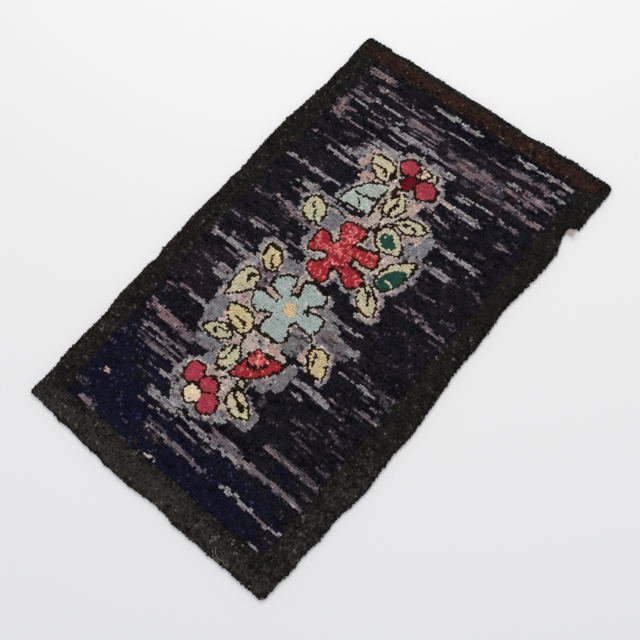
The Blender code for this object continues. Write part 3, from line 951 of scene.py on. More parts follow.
    def use_up(self, yarns, chosen, mix, layer):
        """Hooks the chosen places in a mix of yarns, each used up along its row before the next."""
        if not len(chosen):
            return
        names = np.array([name for name, _ in MIXES[mix]])
        shares = np.cumsum([share for _, share in MIXES[mix]])
        wave = drawn_noise(self.plain[chosen], YARN_LENGTH, self.row * 1.1, layer)
        wave += self.rng.normal(0.0, FLECKED_MIXES.get(mix, YARN_LOOSENESS), len(chosen))
        rank = np.argsort(np.argsort(wave)) / len(chosen)
        yarns[chosen] = names[np.searchsorted(shares[:-1], rank, side="right")]

    def ground_yarns(self, design):
        """The dark ground: lengths of dark yarns used up one after another along the rows."""
        streaky = drawn_noise(design, 34.0, 5.0, 2.5)
        cloudy = drawn_noise(design, 120.0, 60.0, 7.5)
        loose = self.rng.normal(0.0, GROUND_LOOSENESS, len(design))
        navy = strength_of(design, NAVY_PATCHES)
        plum = strength_of(design, PLUM_PATCHES)
        yarns = np.full(len(design), "ground_charcoal", dtype="<U24")
        for yarn, *shares, enough in GROUND_YARNS:
            parts = zip(shares, (streaky, loose, cloudy, plum, navy))
            yarns[sum(share * part for share, part in parts) > enough] = yarn
        return yarns

    def put_streaks(self, yarns):
        """Light rows in the ground, each ending at its own place."""
        x, y = self.plain.T
        for number, (from_x, to_x, middle_y, height, *mix) in enumerate(STREAKS):
            half = max(1, round(height / self.row)) * self.row / 2
            in_rows = np.abs(y - middle_y) <= half + self.row
            near = np.flatnonzero(in_rows & (x > from_x - STREAK_MARGIN) & (x < to_x + STREAK_MARGIN))
            strays = STREAK_STRAYS * self.row * drawn_noise(self.plain[near], 13.0, 9.0, 19.5)
            near = near[np.abs(y[near] + strays - middle_y) <= half]
            row_ends = np.stack([np.full(len(near), 7.3 * number), y[near]], 1)
            starts = from_x + STREAK_RAGGED * drawn_noise(row_ends, 1.0, self.row * 0.9, 11.5)
            stops = to_x + STREAK_RAGGED * drawn_noise(row_ends, 1.0, self.row * 0.9, 13.5)
            breaks = drawn_noise(self.plain[near], 15.0, self.row * 0.8, 15.5)
            from_end = np.minimum(x[near] - starts, stops - x[near])
            covered = (from_end > 0.0) & (breaks > STREAK_BREAKS)
            self.use_up(yarns, near[covered], mix[0] if mix else "mauve", 17.5 + number)
            faded = covered & (from_end < STREAK_FADE * self.rng.random(len(near)))
            yarns[near[faded]] = "streak_faint"

    def put_halo(self, design, yarns):
        """The light ground round the motifs: beige next to them, grey farther out, in patches of its own."""
        middle, half_width, half_height = HALO_STRETCH
        x, y = design.T
        around = np.flatnonzero((np.abs(x - middle) < half_width) & (np.abs(y) < half_height))
        points = design[around]
        distance = nearest(self.line_tree, self.places[around])[1] / MM
        ragged = drawn_noise(points, 30.0, self.row, 4.5)
        wide = drawn_noise(points, 60.0, 40.0, 9.5)
        light = distance < HALO_REACH + HALO_RAGGED * ragged + HALO_RAGGED * wide
        for hole in HALO_HOLES:
            light &= ~in_patch(points, hole, ragged)
        self.use_up(yarns, around[light], "light", 31.5)
        close = light & (distance < BEIGE_REACH + BEIGE_RAGGED * wide)
        self.use_up(yarns, around[close], "beige", 33.5)
        for number, patch in enumerate(HALO_PATCHES):
            self.use_up(yarns, around[in_patch(points, patch, ragged)], patch[4], 35.5 + number)

    def put_border(self, design, yarns):
        """The dark border, brown in its far side, paler in patches of painted light and darker in patches of
        painted shade.
        """
        x, y = design.T
        waver = drawn_noise(design, 26.0, 26.0, 1.5) * BORDER_WAVER
        bow_left = BOW_LEFT[0] * np.clip(1.0 - (y / BOW_LEFT[1]) ** 2, 0.0, 1.0)
        bow_right = BOW_RIGHT[0] * (y / BOW_RIGHT[1]) ** 2
        left = x < -FIELD_SIDE - bow_left + waver
        right = x > FIELD_SIDE + waver - bow_right
        far = y > FIELD_FAR + waver
        near = y < FIELD_NEAR + waver
        border = left | right | far | near
        patchy = drawn_noise(design, 22.0, 14.0, 3.5) * BORDER_PATCHINESS
        tone = patchy + self.rng.normal(0.0, BORDER_LOOSENESS, len(design))
        # Painted light and shade on the border, in soft patches; it tips loops to the olive or the black
        # yarn
        worn = strength_of(design, BORDER_LIGHT_AND_SHADE_PATCHES)
        yarns[border] = "border_charcoal"
        yarns[border & (tone + 0.9 * worn > OLIVE_FROM)] = "border_olive"
        yarns[border & (tone + 0.5 * worn < BLACK_BELOW)] = "border_black"
        from_y, to_y, half_width, brown_from = BROWN_BAND
        brown = far & (y > from_y) & (y < to_y) & (np.abs(x) < half_width) & (tone > brown_from)
        yarns[brown] = "border_brown"

    def put_motifs(self, design, yarns):
        """The fillings of the leaves, flowers and berries."""
        low, high = in_design(self.lines.min(axis=0)), in_design(self.lines.max(axis=0))
        close = np.flatnonzero(((design > low) & (design < high)).all(axis=1))
        points = design[close]

        def within(shape):
            return close[inside(hand_drawn(shape, True), points)]

        for number, (yarn, outline, _) in enumerate(self.drawn):
            filled = close[inside(outline, points)]
            if yarn in MIXES:
                self.use_up(yarns, filled, yarn, 95.5 + 2.0 * number)
            else:
                yarns[filled] = yarn
        ragged = drawn_noise(points, 12.0, 8.0, 61.5)
        for number, patch in enumerate(ROSY_PATCHES):
            rosy = in_patch(points, patch, ragged) & np.isin(yarns[close], ("flower_red", "flower_pink"))
            self.use_up(yarns, close[rosy], "rosy", 63.5 + number)
        for number, heart in enumerate(GREEN_HEARTS):
            self.use_up(yarns, within(leaf_outline(*heart)), "leaf_green", 81.5 + number)
        yarns[within(round_outline(*BLUE_HEART))] = "peach"
        self.use_up(yarns, within(round_outline(*BUD_HEART)), "bud heart", 85.5)

    def put_outlines(self, design, yarns):
        """The dark rows, two loops thick here and there and broken in a few places."""
        thickness = drawn_noise(design, 9.0, 9.0, 27.5)
        beside = nearest(self.line_tree, self.places)[1] < THICK_REACH * self.pile.row_pitch
        yarns[beside & (thickness > THICK_FROM)] = "outline"
        line = np.arange(len(design)) < len(self.lines)
        yarns[line & (thickness > -BROKEN_FROM)] = "outline"

    def add_rim_loops(self):
        """A row of loops laid over the folded edge, below the outermost row."""
        count_before = len(self.places)
        at, turn = spaced(self.form.rim, self.pile.loop_pitch, True)
        at = at + self.rng.normal(0.0, RIM_UNEVENNESS, at.shape)
        self.add_loops(at, turn)
        self.yarns = np.concatenate([self.yarns, np.full(len(at), "border_charcoal", dtype="<U24")])
        self.use_up(self.yarns, np.arange(count_before, len(self.places)), "rim", 91.5)
        self.over_edge = np.arange(len(self.places)) >= count_before

    def raise_loops(self):
        """Gives each loop its foot, its axis, its size and its shade."""
        pile, rng = self.pile, self.rng
        count = len(self.places)
        edge, distance = nearest(self.rim_tree, self.places)
        outward = (edge - self.places) / np.maximum(distance, 1e-6)[:, None]
        over = self.over_edge
        rim_turn = self.turns[over] - math.pi / 2
        outward[over] = np.stack([np.cos(rim_turn), np.sin(rim_turn)], 1)
        lean = rng.normal(0.0, LEAN_SPREAD, (count, 2))
        edge_lean = EDGE_LEAN * (1.0 - smooth_step((distance - EDGE_LEAN_FROM) / EDGE_LEAN_OVER))
        lean += outward * edge_lean[:, None]
        axis = np.column_stack([lean, np.ones(count)])
        tilt = rng.normal(*RIM_LOOP_TILT, int(over.sum()))
        axis[over] = np.column_stack([outward[over], tilt])
        self.axis = axis / np.linalg.norm(axis, axis=1)[:, None]
        reach = pile.loop_rise + pile.loop_root
        self.rise = reach * (1.0 + rng.normal(0.0, RISE_SPREAD, count))
        surface = np.maximum(self.form.heights(self.places, missing=0.0060), LEAST_TOP)
        lumps = drawn_noise(self.places, 0.021, 0.017, 5.5) * pile.unevenness * TOP_LUMPS
        tops = surface + rng.normal(0.0, pile.unevenness * TOP_SPREAD, count) + lumps
        foot = np.column_stack([self.places, tops]) - self.axis * self.rise[:, None] * SUNK_SHARE
        foot[over, :2] = self.places[over] - outward[over] * (RIM_LOOP_ROOT * reach)
        foot[over, 2] = rng.normal(*RIM_LOOP_HEIGHT, int(over.sum()))
        self.foot = foot
        self.half_long = pile.loop_pitch * rng.normal(*LOOP_FULLNESS, count)
        self.half_wide = pile.row_pitch * rng.normal(*LOOP_FULLNESS, count)
        self.half_long[over] *= RIM_LOOP_SIZE
        self.half_wide[over] *= RIM_LOOP_SIZE
        self.turns = self.turns + rng.normal(0.0, TURN_SPREAD, count)
        patchy = SHADE_SPREAD * drawn_noise(self.places, 0.018, 0.009, 8.5)
        self.shade = np.clip(0.5 + patchy + rng.normal(0.0, SHADE_SPREAD, count), 0.0, 1.0)


PLANS = []


def hooking_plan():
    """The plan of the whole rug, made when the first yarn is hooked."""
    if not PLANS:
        PLANS.append(HookingPlan(bpy.context.scene.rug_pile))
    return PLANS[0]


def loop_form():
    """One loop of yarn, closed, one unit high and one from middle to side, narrow where it is rooted."""
    bm = bmesh.new()
    bmesh.ops.create_uvsphere(bm, u_segments=6, v_segments=3, radius=1.0)
    for vert in bm.verts:
        height, radius = LOOP_STATIONS[round(2.0 * vert.co.z)]
        angle = math.atan2(vert.co.y, vert.co.x) + math.radians(15.0)
        vert.co = (radius * math.cos(angle), radius * math.sin(angle), height)
    bm.verts.index_update()
    corners = np.array([vert.co for vert in bm.verts])
    faces = [[vert.index for vert in face.verts] for face in bm.faces]
    bm.free()
    return corners, faces


def mesh_of(name, vertices, corners, starts):
    """A mesh from arrays of its vertices, its faces' corners and where each face starts among them."""
    mesh = bpy.data.meshes.new(name)
    mesh.vertices.add(len(vertices))
    mesh.vertices.foreach_set("co", vertices.astype(np.float32).ravel())
    mesh.loops.add(len(corners))
    mesh.loops.foreach_set("vertex_index", corners.astype(np.int32))
    mesh.polygons.add(len(starts))
    mesh.polygons.foreach_set("loop_start", starts.astype(np.int32))
    mesh.update(calc_edges=True)
    mesh.shade_smooth()
    return mesh


def loops_mesh(name, plan, chosen):
    """The chosen loops as one mesh, with each loop's shade, and how far up its yarn each point lies."""
    form, faces = loop_form()
    count, size = len(chosen), len(form)
    axis = plan.axis[chosen]
    turn = plan.turns[chosen]
    along = np.column_stack([np.cos(turn), np.sin(turn), np.zeros(count)])
    along -= axis * (along * axis).sum(axis=1)[:, None]
    along /= np.linalg.norm(along, axis=1)[:, None]
    across = np.cross(axis, along)
    vertices = (
        plan.foot[chosen][:, None, :]
        + form[None, :, :1] * (along * plan.half_long[chosen][:, None])[:, None, :]
        + form[None, :, 1:2] * (across * plan.half_wide[chosen][:, None])[:, None, :]
        + form[None, :, 2:] * (axis * plan.rise[chosen][:, None])[:, None, :]
    ).reshape(-1, 3)
    one = np.concatenate(faces)
    face_starts = np.cumsum([0] + [len(face) for face in faces[:-1]])
    corners = (one[None, :] + size * np.arange(count)[:, None]).ravel()
    starts = (face_starts[None, :] + len(one) * np.arange(count)[:, None]).ravel()
    mesh = mesh_of(name, vertices, corners, starts)
    shade = plan.shade[chosen]
    store(mesh, "shade", np.repeat(shade, size))
    store(mesh, "rise", np.tile(form[:, 2], count))
    turned = (np.arctan2(form[one, 1], form[one, 0]) / (2 * math.pi)) % 1.0
    across_map = shade[:, None] * 0.97 + 0.03 * turned[None, :]
    up_map = np.tile(0.04 + 0.92 * form[one, 2], count)
    layer = mesh.uv_layers.new(name=LOOP_MAP)
    layer.uv.foreach_set("vector", np.column_stack([across_map.ravel(), up_map]).astype(np.float32).ravel())
    return mesh


def store(mesh, name, values):
    """Keeps one number for each vertex of a mesh, for its material."""
    attribute = mesh.attributes.new(name, "FLOAT", "POINT")
    attribute.data.foreach_set("value", values.astype(np.float32))


class Wiring:
    """Adds nodes to a tree; a socket given as an input is linked, and anything else is its value."""

    def __init__(self, tree):
        self.tree = tree

    def add(self, kind, inputs=None, **settings):
        node = self.tree.nodes.new("ShaderNode" + kind)
        for name, value in settings.items():
            setattr(node, name, value)
        for name, value in (inputs or {}).items():
            if isinstance(value, bpy.types.NodeSocket):
                self.tree.links.new(value, node.inputs[name])
            else:
                node.inputs[name].default_value = value
        return node

    def place(self):
        """Where a point lies in the piece itself."""
        return self.add("TexCoord").outputs["Object"]

    def noise(self, scale, detail, **more):
        inputs = {"Vector": self.place(), "Scale": scale, "Detail": detail, **more}
        return self.add("TexNoise", inputs).outputs["Fac"]

    def math(self, operation, first, second=0.0, third=0.0):
        return self.add("Math", {0: first, 1: second, 2: third}, operation=operation).outputs[0]

    def ridges(self, counted):
        """Rounded ridges, one for each whole number that is counted."""
        return self.math("ABSOLUTE", self.math("SINE", self.math("MULTIPLY", counted, math.pi)))

    def ramp(self, value, low, high, to_low, to_high):
        limits = {"Value": value, "From Min": low, "From Max": high, "To Min": to_low, "To Max": to_high}
        return self.add("MapRange", limits).outputs["Result"]

    def scaled(self, colour, amount):
        return self.add("VectorMath", {0: colour, "Scale": amount}, operation="SCALE").outputs["Vector"]

    def mixed(self, share, first, second):
        inputs = {"Factor": share, 6: first, 7: second}
        return self.add("Mix", inputs, data_type="RGBA").outputs[2]


def shader_group(name, inputs, wire):
    """The node group of this name, made once and filled by wire(wiring, given inputs)."""
    if name in bpy.data.node_groups:
        return bpy.data.node_groups[name]
    group = bpy.data.node_groups.new(name, "ShaderNodeTree")
    for label, default in inputs.items():
        kind = "NodeSocketColor" if isinstance(default, tuple) else "NodeSocketFloat"
        group.interface.new_socket(label, in_out="INPUT", socket_type=kind).default_value = default
    group.interface.new_socket("Color", in_out="OUTPUT", socket_type="NodeSocketColor")
    group.interface.new_socket("Height", in_out="OUTPUT", socket_type="NodeSocketFloat")
    given = group.nodes.new("NodeGroupInput").outputs
    result = group.nodes.new("NodeGroupOutput").inputs
    colour, height = wire(Wiring(group), given)
    group.links.new(colour, result["Color"])
    group.links.new(height, result["Height"])
    return group


WOOL_INPUTS = {
    "Yarn": (0.1, 0.1, 0.1, 1.0),
    "Fleck": (0.2, 0.2, 0.2, 1.0),
    "Fleck from": 0.9,
    "Spread": 0.3,
    "Shade": 0.5,
    "Rise": 1.0,
}
WEAVE_INPUTS = {
    "Thread": (0.4, 0.3, 0.2, 1.0),
    "Gap": (0.05, 0.04, 0.03, 1.0),
    "Threads a metre": 500.0,
}


def dyed_wool_with_painted_shade(wiring, given):
    """Each loop a little lighter or darker, some lighter still as flecks that stand partly for painted
    glints, with painted shade darkening each loop towards its foot between the loops, and fine twisted
    fibres.
    """
    fibres = wiring.noise(1500.0, 3.0, Roughness=0.6)
    strands = wiring.noise(520.0, 2.0, Distortion=1.2)
    spread_low = wiring.math("SUBTRACT", 1.0, given["Spread"])
    spread_high = wiring.math("ADD", 1.0, given["Spread"])
    tone = wiring.ramp(given["Shade"], 0.0, 1.0, spread_low, spread_high)
    # Painted shade: each loop darker towards its foot, where it sinks between its neighbours
    depth = wiring.ramp(given["Rise"], 0.35, 1.0, 0.40, 1.0)
    fine = wiring.ramp(fibres, 0.25, 0.75, 0.84, 1.16)
    coarse = wiring.ramp(strands, 0.3, 0.7, 0.90, 1.10)
    # The lightest loops are flecked: partly flecks in the yarn, partly painted glints
    flecked_and_glinting = wiring.math("GREATER_THAN", given["Shade"], given["Fleck from"])
    colour = wiring.mixed(flecked_and_glinting, given["Yarn"], given["Fleck"])
    tone_and_painted_shade = wiring.math("MULTIPLY", tone, depth)
    of_fibre = wiring.math("MULTIPLY", fine, coarse)
    shown = wiring.scaled(colour, wiring.math("MULTIPLY", tone_and_painted_shade, of_fibre))
    return shown, wiring.math("MULTIPLY_ADD", strands, 0.6, fibres)


def plain_weave(wiring, given):
    """Two sets of threads crossing over and under each other, with painted shade in the gaps between them
    and on their rounded sides.
    """
    parts = wiring.add("SeparateXYZ", {0: wiring.place()}).outputs
    uneven = wiring.noise(60.0, 3.0)
    counts = []
    for part in ("X", "Y"):
        counted = wiring.math("MULTIPLY", parts[part], given["Threads a metre"])
        counts.append(wiring.math("MULTIPLY_ADD", uneven, 0.5, counted))
    whole_counts = wiring.math("ADD", *(wiring.math("FLOOR", counted) for counted in counts))
    over = wiring.math("GREATER_THAN", wiring.math("PINGPONG", whole_counts, 1.0), 0.5)
    warp = wiring.math("MULTIPLY", wiring.ridges(counts[0]), wiring.ramp(over, 0.0, 1.0, 0.75, 1.0))
    weft = wiring.math("MULTIPLY", wiring.ridges(counts[1]), wiring.ramp(over, 0.0, 1.0, 1.0, 0.75))
    height = wiring.math("MAXIMUM", warp, weft)
    fibre = wiring.noise(1800.0, 2.0)
    thread = wiring.scaled(given["Thread"], wiring.ramp(fibre, 0.3, 0.7, 0.75, 1.2))
    # Painted shade: the lower the weave, the nearer its colour to the dark of the gaps
    shown = wiring.mixed(wiring.ramp(height, 0.35, 0.7, 0.0, 1.0), given["Gap"], thread)
    return shown, wiring.math("MULTIPLY_ADD", fibre, 0.2, height)


def rgba(colour):
    return (*colour, 1.0)


def new_material(name, roughness, sheen, specular=0.25):
    """A material with a plain cloth finish, and the wiring and shader to add its pattern to."""
    material = bpy.data.materials.new(name)
    material.use_nodes = True
    shader = material.node_tree.nodes["Principled BSDF"]
    shader.inputs["Roughness"].default_value = roughness
    shader.inputs["Specular IOR Level"].default_value = specular
    shader.inputs["Sheen Weight"].default_value = sheen
    shader.inputs["Sheen Roughness"].default_value = 0.45
    return material, Wiring(material.node_tree), shader


def dress(wiring, shader, colour, height, strength, distance):
    """Leads a pattern's colour and height into a shader."""
    bump = wiring.add("Bump", {"Height": height, "Strength": strength, "Distance": distance})
    wiring.tree.links.new(colour, shader.inputs["Base Color"])
    wiring.tree.links.new(bump.outputs["Normal"], shader.inputs["Normal"])


# How the loops of a yarn differ: how far in lightness, and above which shade they are lighter flecks, which
# stand partly for flecks in the yarn and partly for painted glints
YARN_LIFE = {
    # yarn: (spread, fleck and glint from, fleck and glint as light as this many times the yarn, their
    # whitening)
    "flower_red": (0.34, 0.86, 1.25, 0.14),
    "flower_pink": (0.30, 0.84, 1.2, 0.14),
    "berry_crimson": (0.26, 0.95, 1.2, 0.05),
    "berry_dark": (0.35, 0.95, 1.4, 0.02),
    "flower_blue": (0.16, 0.93, 1.1, 0.05),
    "leaf_blue": (0.16, 0.93, 1.1, 0.05),
    "leaf_cream": (0.18, 0.94, 1.1, 0.04),
    "leaf_yellow": (0.18, 0.94, 1.1, 0.04),
    "leaf_green": (0.35, 0.95, 1.5, 0.02),
    "cream_peach": (0.12, 0.96, 1.05, 0.03),
    "peach": (0.16, 0.96, 1.05, 0.03),
    "halo_beige": (0.24, 0.93, 1.15, 0.06),
    "halo_rose": (0.26, 0.93, 1.15, 0.06),
    "halo_grey": (0.24, 0.95, 1.2, 0.04),
    "halo_blue": (0.22, 0.95, 1.2, 0.04),
    "streak_light": (0.22, 0.94, 1.25, 0.04),
    "streak_mauve": (0.24, 0.94, 1.3, 0.03),
    "streak_pink": (0.24, 0.94, 1.3, 0.03),
}
# Dark wool's lighter flecks stand partly for painted glints on its loops
PLAIN_LIFE = (0.60, 0.93, 2.0, 0.008)
# Sheen and gloss of pale wool, which dark wool has less of
PALE_SHEEN = 0.20
PALE_GLOSS = 0.22
LEAST_PALENESS = 0.12
# Plain fibres
FIBRES = {
    # kind: (roughness, sheen, noise scale, noise detail, darkest, lightest, bump strength, bump distance)
    "thread": (0.9, 0.15, 2200.0, 2.0, 0.75, 1.15, 0.5, 0.0003),
    # The depth row is painted shade: the dark mat seen between the loops
    "depth": (0.97, 0.0, 700.0, 3.0, 0.5, 1.4, 0.8, 0.0006),
}


def wool_material(yarn, colour):
    """The material of one yarn."""
    spread, fleck_and_glint_from, lighter, whiter = YARN_LIFE.get(yarn, PLAIN_LIFE)
    paleness = min(1.0, LEAST_PALENESS + sum(colour))
    material, wiring, shader = new_material(yarn, 0.93, PALE_SHEEN * paleness, PALE_GLOSS * paleness)
    shader.inputs["Sheen Tint"].default_value = rgba([min(1.0, 0.3 + channel) for channel in colour])
    inputs = {
        "Yarn": rgba(colour),
        "Fleck": rgba([min(1.0, channel * lighter + whiter) for channel in colour]),
        "Fleck from": fleck_and_glint_from,
        "Spread": spread,
        "Shade": wiring.add("Attribute", attribute_name="shade").outputs["Fac"],
        "Rise": wiring.add("Attribute", attribute_name="rise").outputs["Fac"],
    }
    group = shader_group("Dyed wool", WOOL_INPUTS, dyed_wool_with_painted_shade)
    wool = wiring.add("Group", inputs, node_tree=group).outputs
    dress(wiring, shader, wool["Color"], wool["Height"], 0.6, 0.0004)
    return material


def burlap_material(name, colour, threads):
    """Woven burlap, its threads counted in a metre."""
    material, wiring, shader = new_material(name, 0.95, 0.1)
    # The gaps' painted shade: the burlap's colour at 0.12 of its brightness
    gap = rgba([channel * 0.12 for channel in colour])
    inputs = {"Thread": rgba(colour), "Gap": gap, "Threads a metre": threads}
    group = shader_group("Plain weave", WEAVE_INPUTS, plain_weave)
    weave = wiring.add("Group", inputs, node_tree=group).outputs
    dress(wiring, shader, weave["Color"], weave["Height"], 0.8, 0.0005)
    return material


def fibre_material(name, colour, kind):
    """Plain spun thread, or the painted shade deep between the loops."""
    roughness, sheen, scale, detail, darkest, lightest, strength, distance = FIBRES[kind]
    material, wiring, shader = new_material(name, roughness, sheen)
    fibres = wiring.noise(scale, detail)
    shaded = wiring.scaled(colour, wiring.ramp(fibres, 0.3, 0.7, darkest, lightest))
    dress(wiring, shader, shaded, fibres, strength, distance)
    return material


def backs_material(name, cloth):
    """The underside of the hooked field: rows of flat dark stitches with burlap between them."""
    material, wiring, shader = new_material(name, 0.95, 0.05)
    parts = wiring.add("SeparateXYZ", {0: wiring.place()}).outputs
    pile = bpy.context.scene.rug_pile
    uneven = wiring.noise(90.0, 2.0)
    ridges = []
    for part, pitch in (("X", pile.loop_pitch), ("Y", pile.row_pitch)):
        counted = wiring.math("DIVIDE", parts[part], pitch)
        ridges.append(wiring.ridges(wiring.math("MULTIPLY_ADD", uneven, 0.8, counted)))
    across_row = wiring.ramp(ridges[1], 0.25, 0.55, 0.0, 1.0)
    stitch = wiring.math("MULTIPLY", across_row, wiring.ramp(ridges[0], 0.1, 0.5, 0.55, 1.0))
    # The underside's dark stitches take the colour of the pile's painted shade, 2.2 times as light
    dark = rgba([channel * 2.2 for channel in cloth.painted_shade_and_backs_colour])
    shown = wiring.mixed(stitch, rgba([channel * 0.45 for channel in cloth.colour]), dark)
    dress(wiring, shader, shown, stitch, 0.8, 0.0008)
    return material


def place_piece(name, mesh, material, node):
    """Adds a piece to the scene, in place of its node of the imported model."""
    mesh.materials.append(material)
    piece = bpy.data.objects.new(name, mesh)
    bpy.context.scene.collection.objects.link(piece)
    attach(piece, BODY)
    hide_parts(node)
    return piece


def hook(*yarns):
    """Hooks all loops of these yarns, each yarn as one or more pieces, and says that this is done."""
    plan = hooking_plan()
    wool = bpy.context.scene.rug_wool
    for yarn in yarns:
        chosen = np.flatnonzero(plan.yarns == yarn)
        if not len(chosen):
            raise RuntimeError(f"no loop of the plan is hooked in {yarn}")
        material = wool_material(yarn, getattr(wool, yarn))
        parts = np.array_split(chosen, math.ceil(len(chosen) / MOST_LOOPS))
        for number, part in enumerate(parts, 1):
            name = yarn if len(parts) == 1 else f"{yarn}_{number}"
            place_piece(name, loops_mesh(name, plan, part), material, PILE_NODE)
    return {"FINISHED"}


def lines_over(half, insets, cell):
    """Grid lines over one dimension: at these insets from both ends, and about one a cell between them."""
    inner = half - max(insets)
    between = np.linspace(-inner, inner, round(2 * inner / cell) + 1)
    rim = half - np.array(sorted(insets))[:-1]
    return np.concatenate([-rim, between, rim[::-1]])


def laid_grid(bm, columns, rows, place):
    """An open grid on these lines, its points put where place(plain points) says; returns its vertices."""
    last_column, last_row = len(columns) - 1, len(rows) - 1
    verts = bmesh.ops.create_grid(bm, x_segments=last_column, y_segments=last_row, size=1.0)["verts"]
    at = np.array([(vert.co.x, vert.co.y) for vert in verts])
    column = np.round((at[:, 0] + 1.0) / 2 * last_column).astype(int)
    row = np.round((at[:, 1] + 1.0) / 2 * last_row).astype(int)
    plain = np.stack([columns[column], rows[row]], 1)
    for vert, spot in zip(verts, place(plain)):
        vert.co = spot
    return verts, plain


def mesh_from(bm, name, closed=True):
    """Turns a bmesh into a mesh; the faces of a closed one are made to point out."""
    if closed:
        bmesh.ops.recalc_face_normals(bm, faces=bm.faces)
    mesh = bpy.data.meshes.new(name)
    bm.to_mesh(mesh)
    bm.free()
    mesh.shade_smooth()
    return mesh


def bed_mesh(plan):
    """A closed mat under the loops, which stand in it, dark with painted shade for the depth between them.
    """
    form, pile = plan.form, plan.pile
    columns, rows = (lines_over(half, BED_INSETS, BED_CELL) for half in form.halves)
    above_cloth = cloth_top(form)

    def top(plain):
        places = form.carry(plain, worn=True)
        lumps = drawn_noise(places, 0.012, 0.012, 6.5) * BED_LUMPS
        height = form.heights(places, missing=0.0062) - pile.loop_rise + lumps
        return np.column_stack([places, np.maximum(height, above_cloth(plain) + BED_THICKNESS)])

    def bottom(plain):
        return np.column_stack([form.carry(plain, worn=True), above_cloth(plain) + BED_GAP])

    bm = bmesh.new()
    laid_grid(bm, columns, rows, top)
    laid_grid(bm, columns, rows, bottom)
    bmesh.ops.bridge_loops(bm, edges=[edge for edge in bm.edges if edge.is_boundary])
    return mesh_from(bm, "pile_bed")


def cloth_top(form):
    """Height of the burlap's upper face: doubled over the hem, then a slope down to the single cloth."""
    cloth = bpy.context.scene.rug_cloth

    def height(plain):
        inset = (form.halves - np.abs(plain)).min(axis=1)
        sloped = smooth_step((inset - EDGE_INSET - cloth.hem) / HEM_SLOPE)
        return CLOTH_TOP_HEM + (CLOTH_TOP_FIELD - CLOTH_TOP_HEM) * sloped

    return height


def burlap_mesh(plan):
    """The burlap as one sheet, wider than the rug, its edges folded under and mitred at the corners."""
    form, cloth = plan.form, bpy.context.scene.rug_cloth
    halves = form.halves - EDGE_INSET
    top = CLOTH_TOP_HEM - cloth.thickness / 2
    fold = (top - HEM_UNDER) / 2
    turn = fold * math.pi / 2
    in_hem = (-cloth.hem, *(-line for line in HEM_LINES), -turn, -turn / 2, 0.0)
    on_face = (turn / 2, turn, *FACE_LINES, cloth.hem, cloth.hem + HEM_SLOPE / 2, cloth.hem + HEM_SLOPE)
    columns, rows = (lines_over(half, in_hem + on_face, CLOTH_CELL) for half in halves)

    def place(plain):
        past = np.abs(plain) - halves
        under = past.max(axis=1)
        angle = np.clip(under / turn, -1.0, 1.0) * math.pi / 2
        inset = np.where(np.abs(under) < turn, fold * (1.0 - np.cos(angle)), np.abs(under) - turn + fold)
        folded = plain.copy()
        for axis in (0, 1):
            beyond = past[:, axis] > -turn
            folded[beyond, axis] = np.sign(plain[beyond, axis]) * (halves[axis] - inset[beyond])
            sideways = (under > 0) & (past[:, 1 - axis] > 0) & ~beyond
            shrunk = (halves[axis] - inset[sideways]) / halves[axis]
            folded[sideways, axis] = plain[sideways, axis] * shrunk
        sloped = smooth_step((-under - cloth.hem) / HEM_SLOPE)
        height = top - (CLOTH_TOP_HEM - CLOTH_TOP_FIELD) * sloped
        height = np.where(np.abs(under) < turn, HEM_UNDER + fold - fold * np.sin(angle), height)
        height = np.where(under >= turn, HEM_UNDER, height)
        return np.column_stack([form.carry(folded, worn=True), height])

    bm = bmesh.new()
    verts, plain = laid_grid(bm, columns, rows, place)
    corner = (np.abs(plain) > halves + 1e-6).all(axis=1)
    bmesh.ops.delete(bm, geom=[vert for vert, gone in zip(verts, corner) if gone], context="VERTS")
    return mesh_from(bm, "foundation_cloth", closed=False)


def thread_mesh(name, paths, radius):
    """Round threads along paths, thinner at their closed ends."""
    bm = bmesh.new()
    for path in paths:
        path = np.asarray(path, float)
        steps = np.gradient(path, axis=0)
        rings = []
        for number, (spot, step) in enumerate(zip(path, steps)):
            along = Vector(step).normalized()
            side = along.cross(Vector((0.0, 0.0, 1.0))).normalized()
            up = side.cross(along)
            size = radius * (THREAD_END if number in (0, len(path) - 1) else 1.0)
            rings.append([])
            for corner in range(THREAD_SIDES):
                turn = 2 * math.pi * corner / THREAD_SIDES
                round_about = size * (math.cos(turn) * side + math.sin(turn) * up)
                rings[-1].append(bm.verts.new(Vector(spot) + round_about))
        for ring, following in zip(rings, rings[1:]):
            for corner in range(THREAD_SIDES):
                after = (corner + 1) % THREAD_SIDES
                bm.faces.new((ring[corner], ring[after], following[after], following[corner]))
        bm.faces.new(rings[0])
        bm.faces.new(rings[-1])
    return mesh_from(bm, name)


def tab_threads(rng):
    """The threads of the worn edge's loose burlap: two sets woven through each other, with frayed ends."""
    middle_x, middle_y, base = TAB_PLACE
    paths = []
    for lengthwise in (True, False):
        count, half = (TAB_ROWS, TAB_WIDTH / 2) if lengthwise else (TAB_COLUMNS, TAB_LENGTH / 2)
        reach = TAB_LENGTH / 2 if lengthwise else TAB_WIDTH / 2
        for number in range(count):
            aside = -half + 2 * half * number / (count - 1)
            start = -reach - rng.uniform(0.0, TAB_FRAY)
            stop = reach + rng.uniform(0.0, TAB_FRAY)
            along = np.linspace(start, stop, 15)
            drift = rng.normal(0.0, TAB_DRIFT) * (along / reach) ** 2
            x, y = (aside + drift, along) if lengthwise else (along, aside + drift)
            over = math.pi * (along / TAB_SPACING + number) + (0.0 if lengthwise else math.pi)
            height = base + TAB_CURL * ((x + TAB_WIDTH / 2) / TAB_WIDTH) ** 2 + TAB_RADIUS * np.cos(over)
            paths.append(np.column_stack([middle_x + x, middle_y + y, height]))
    return paths


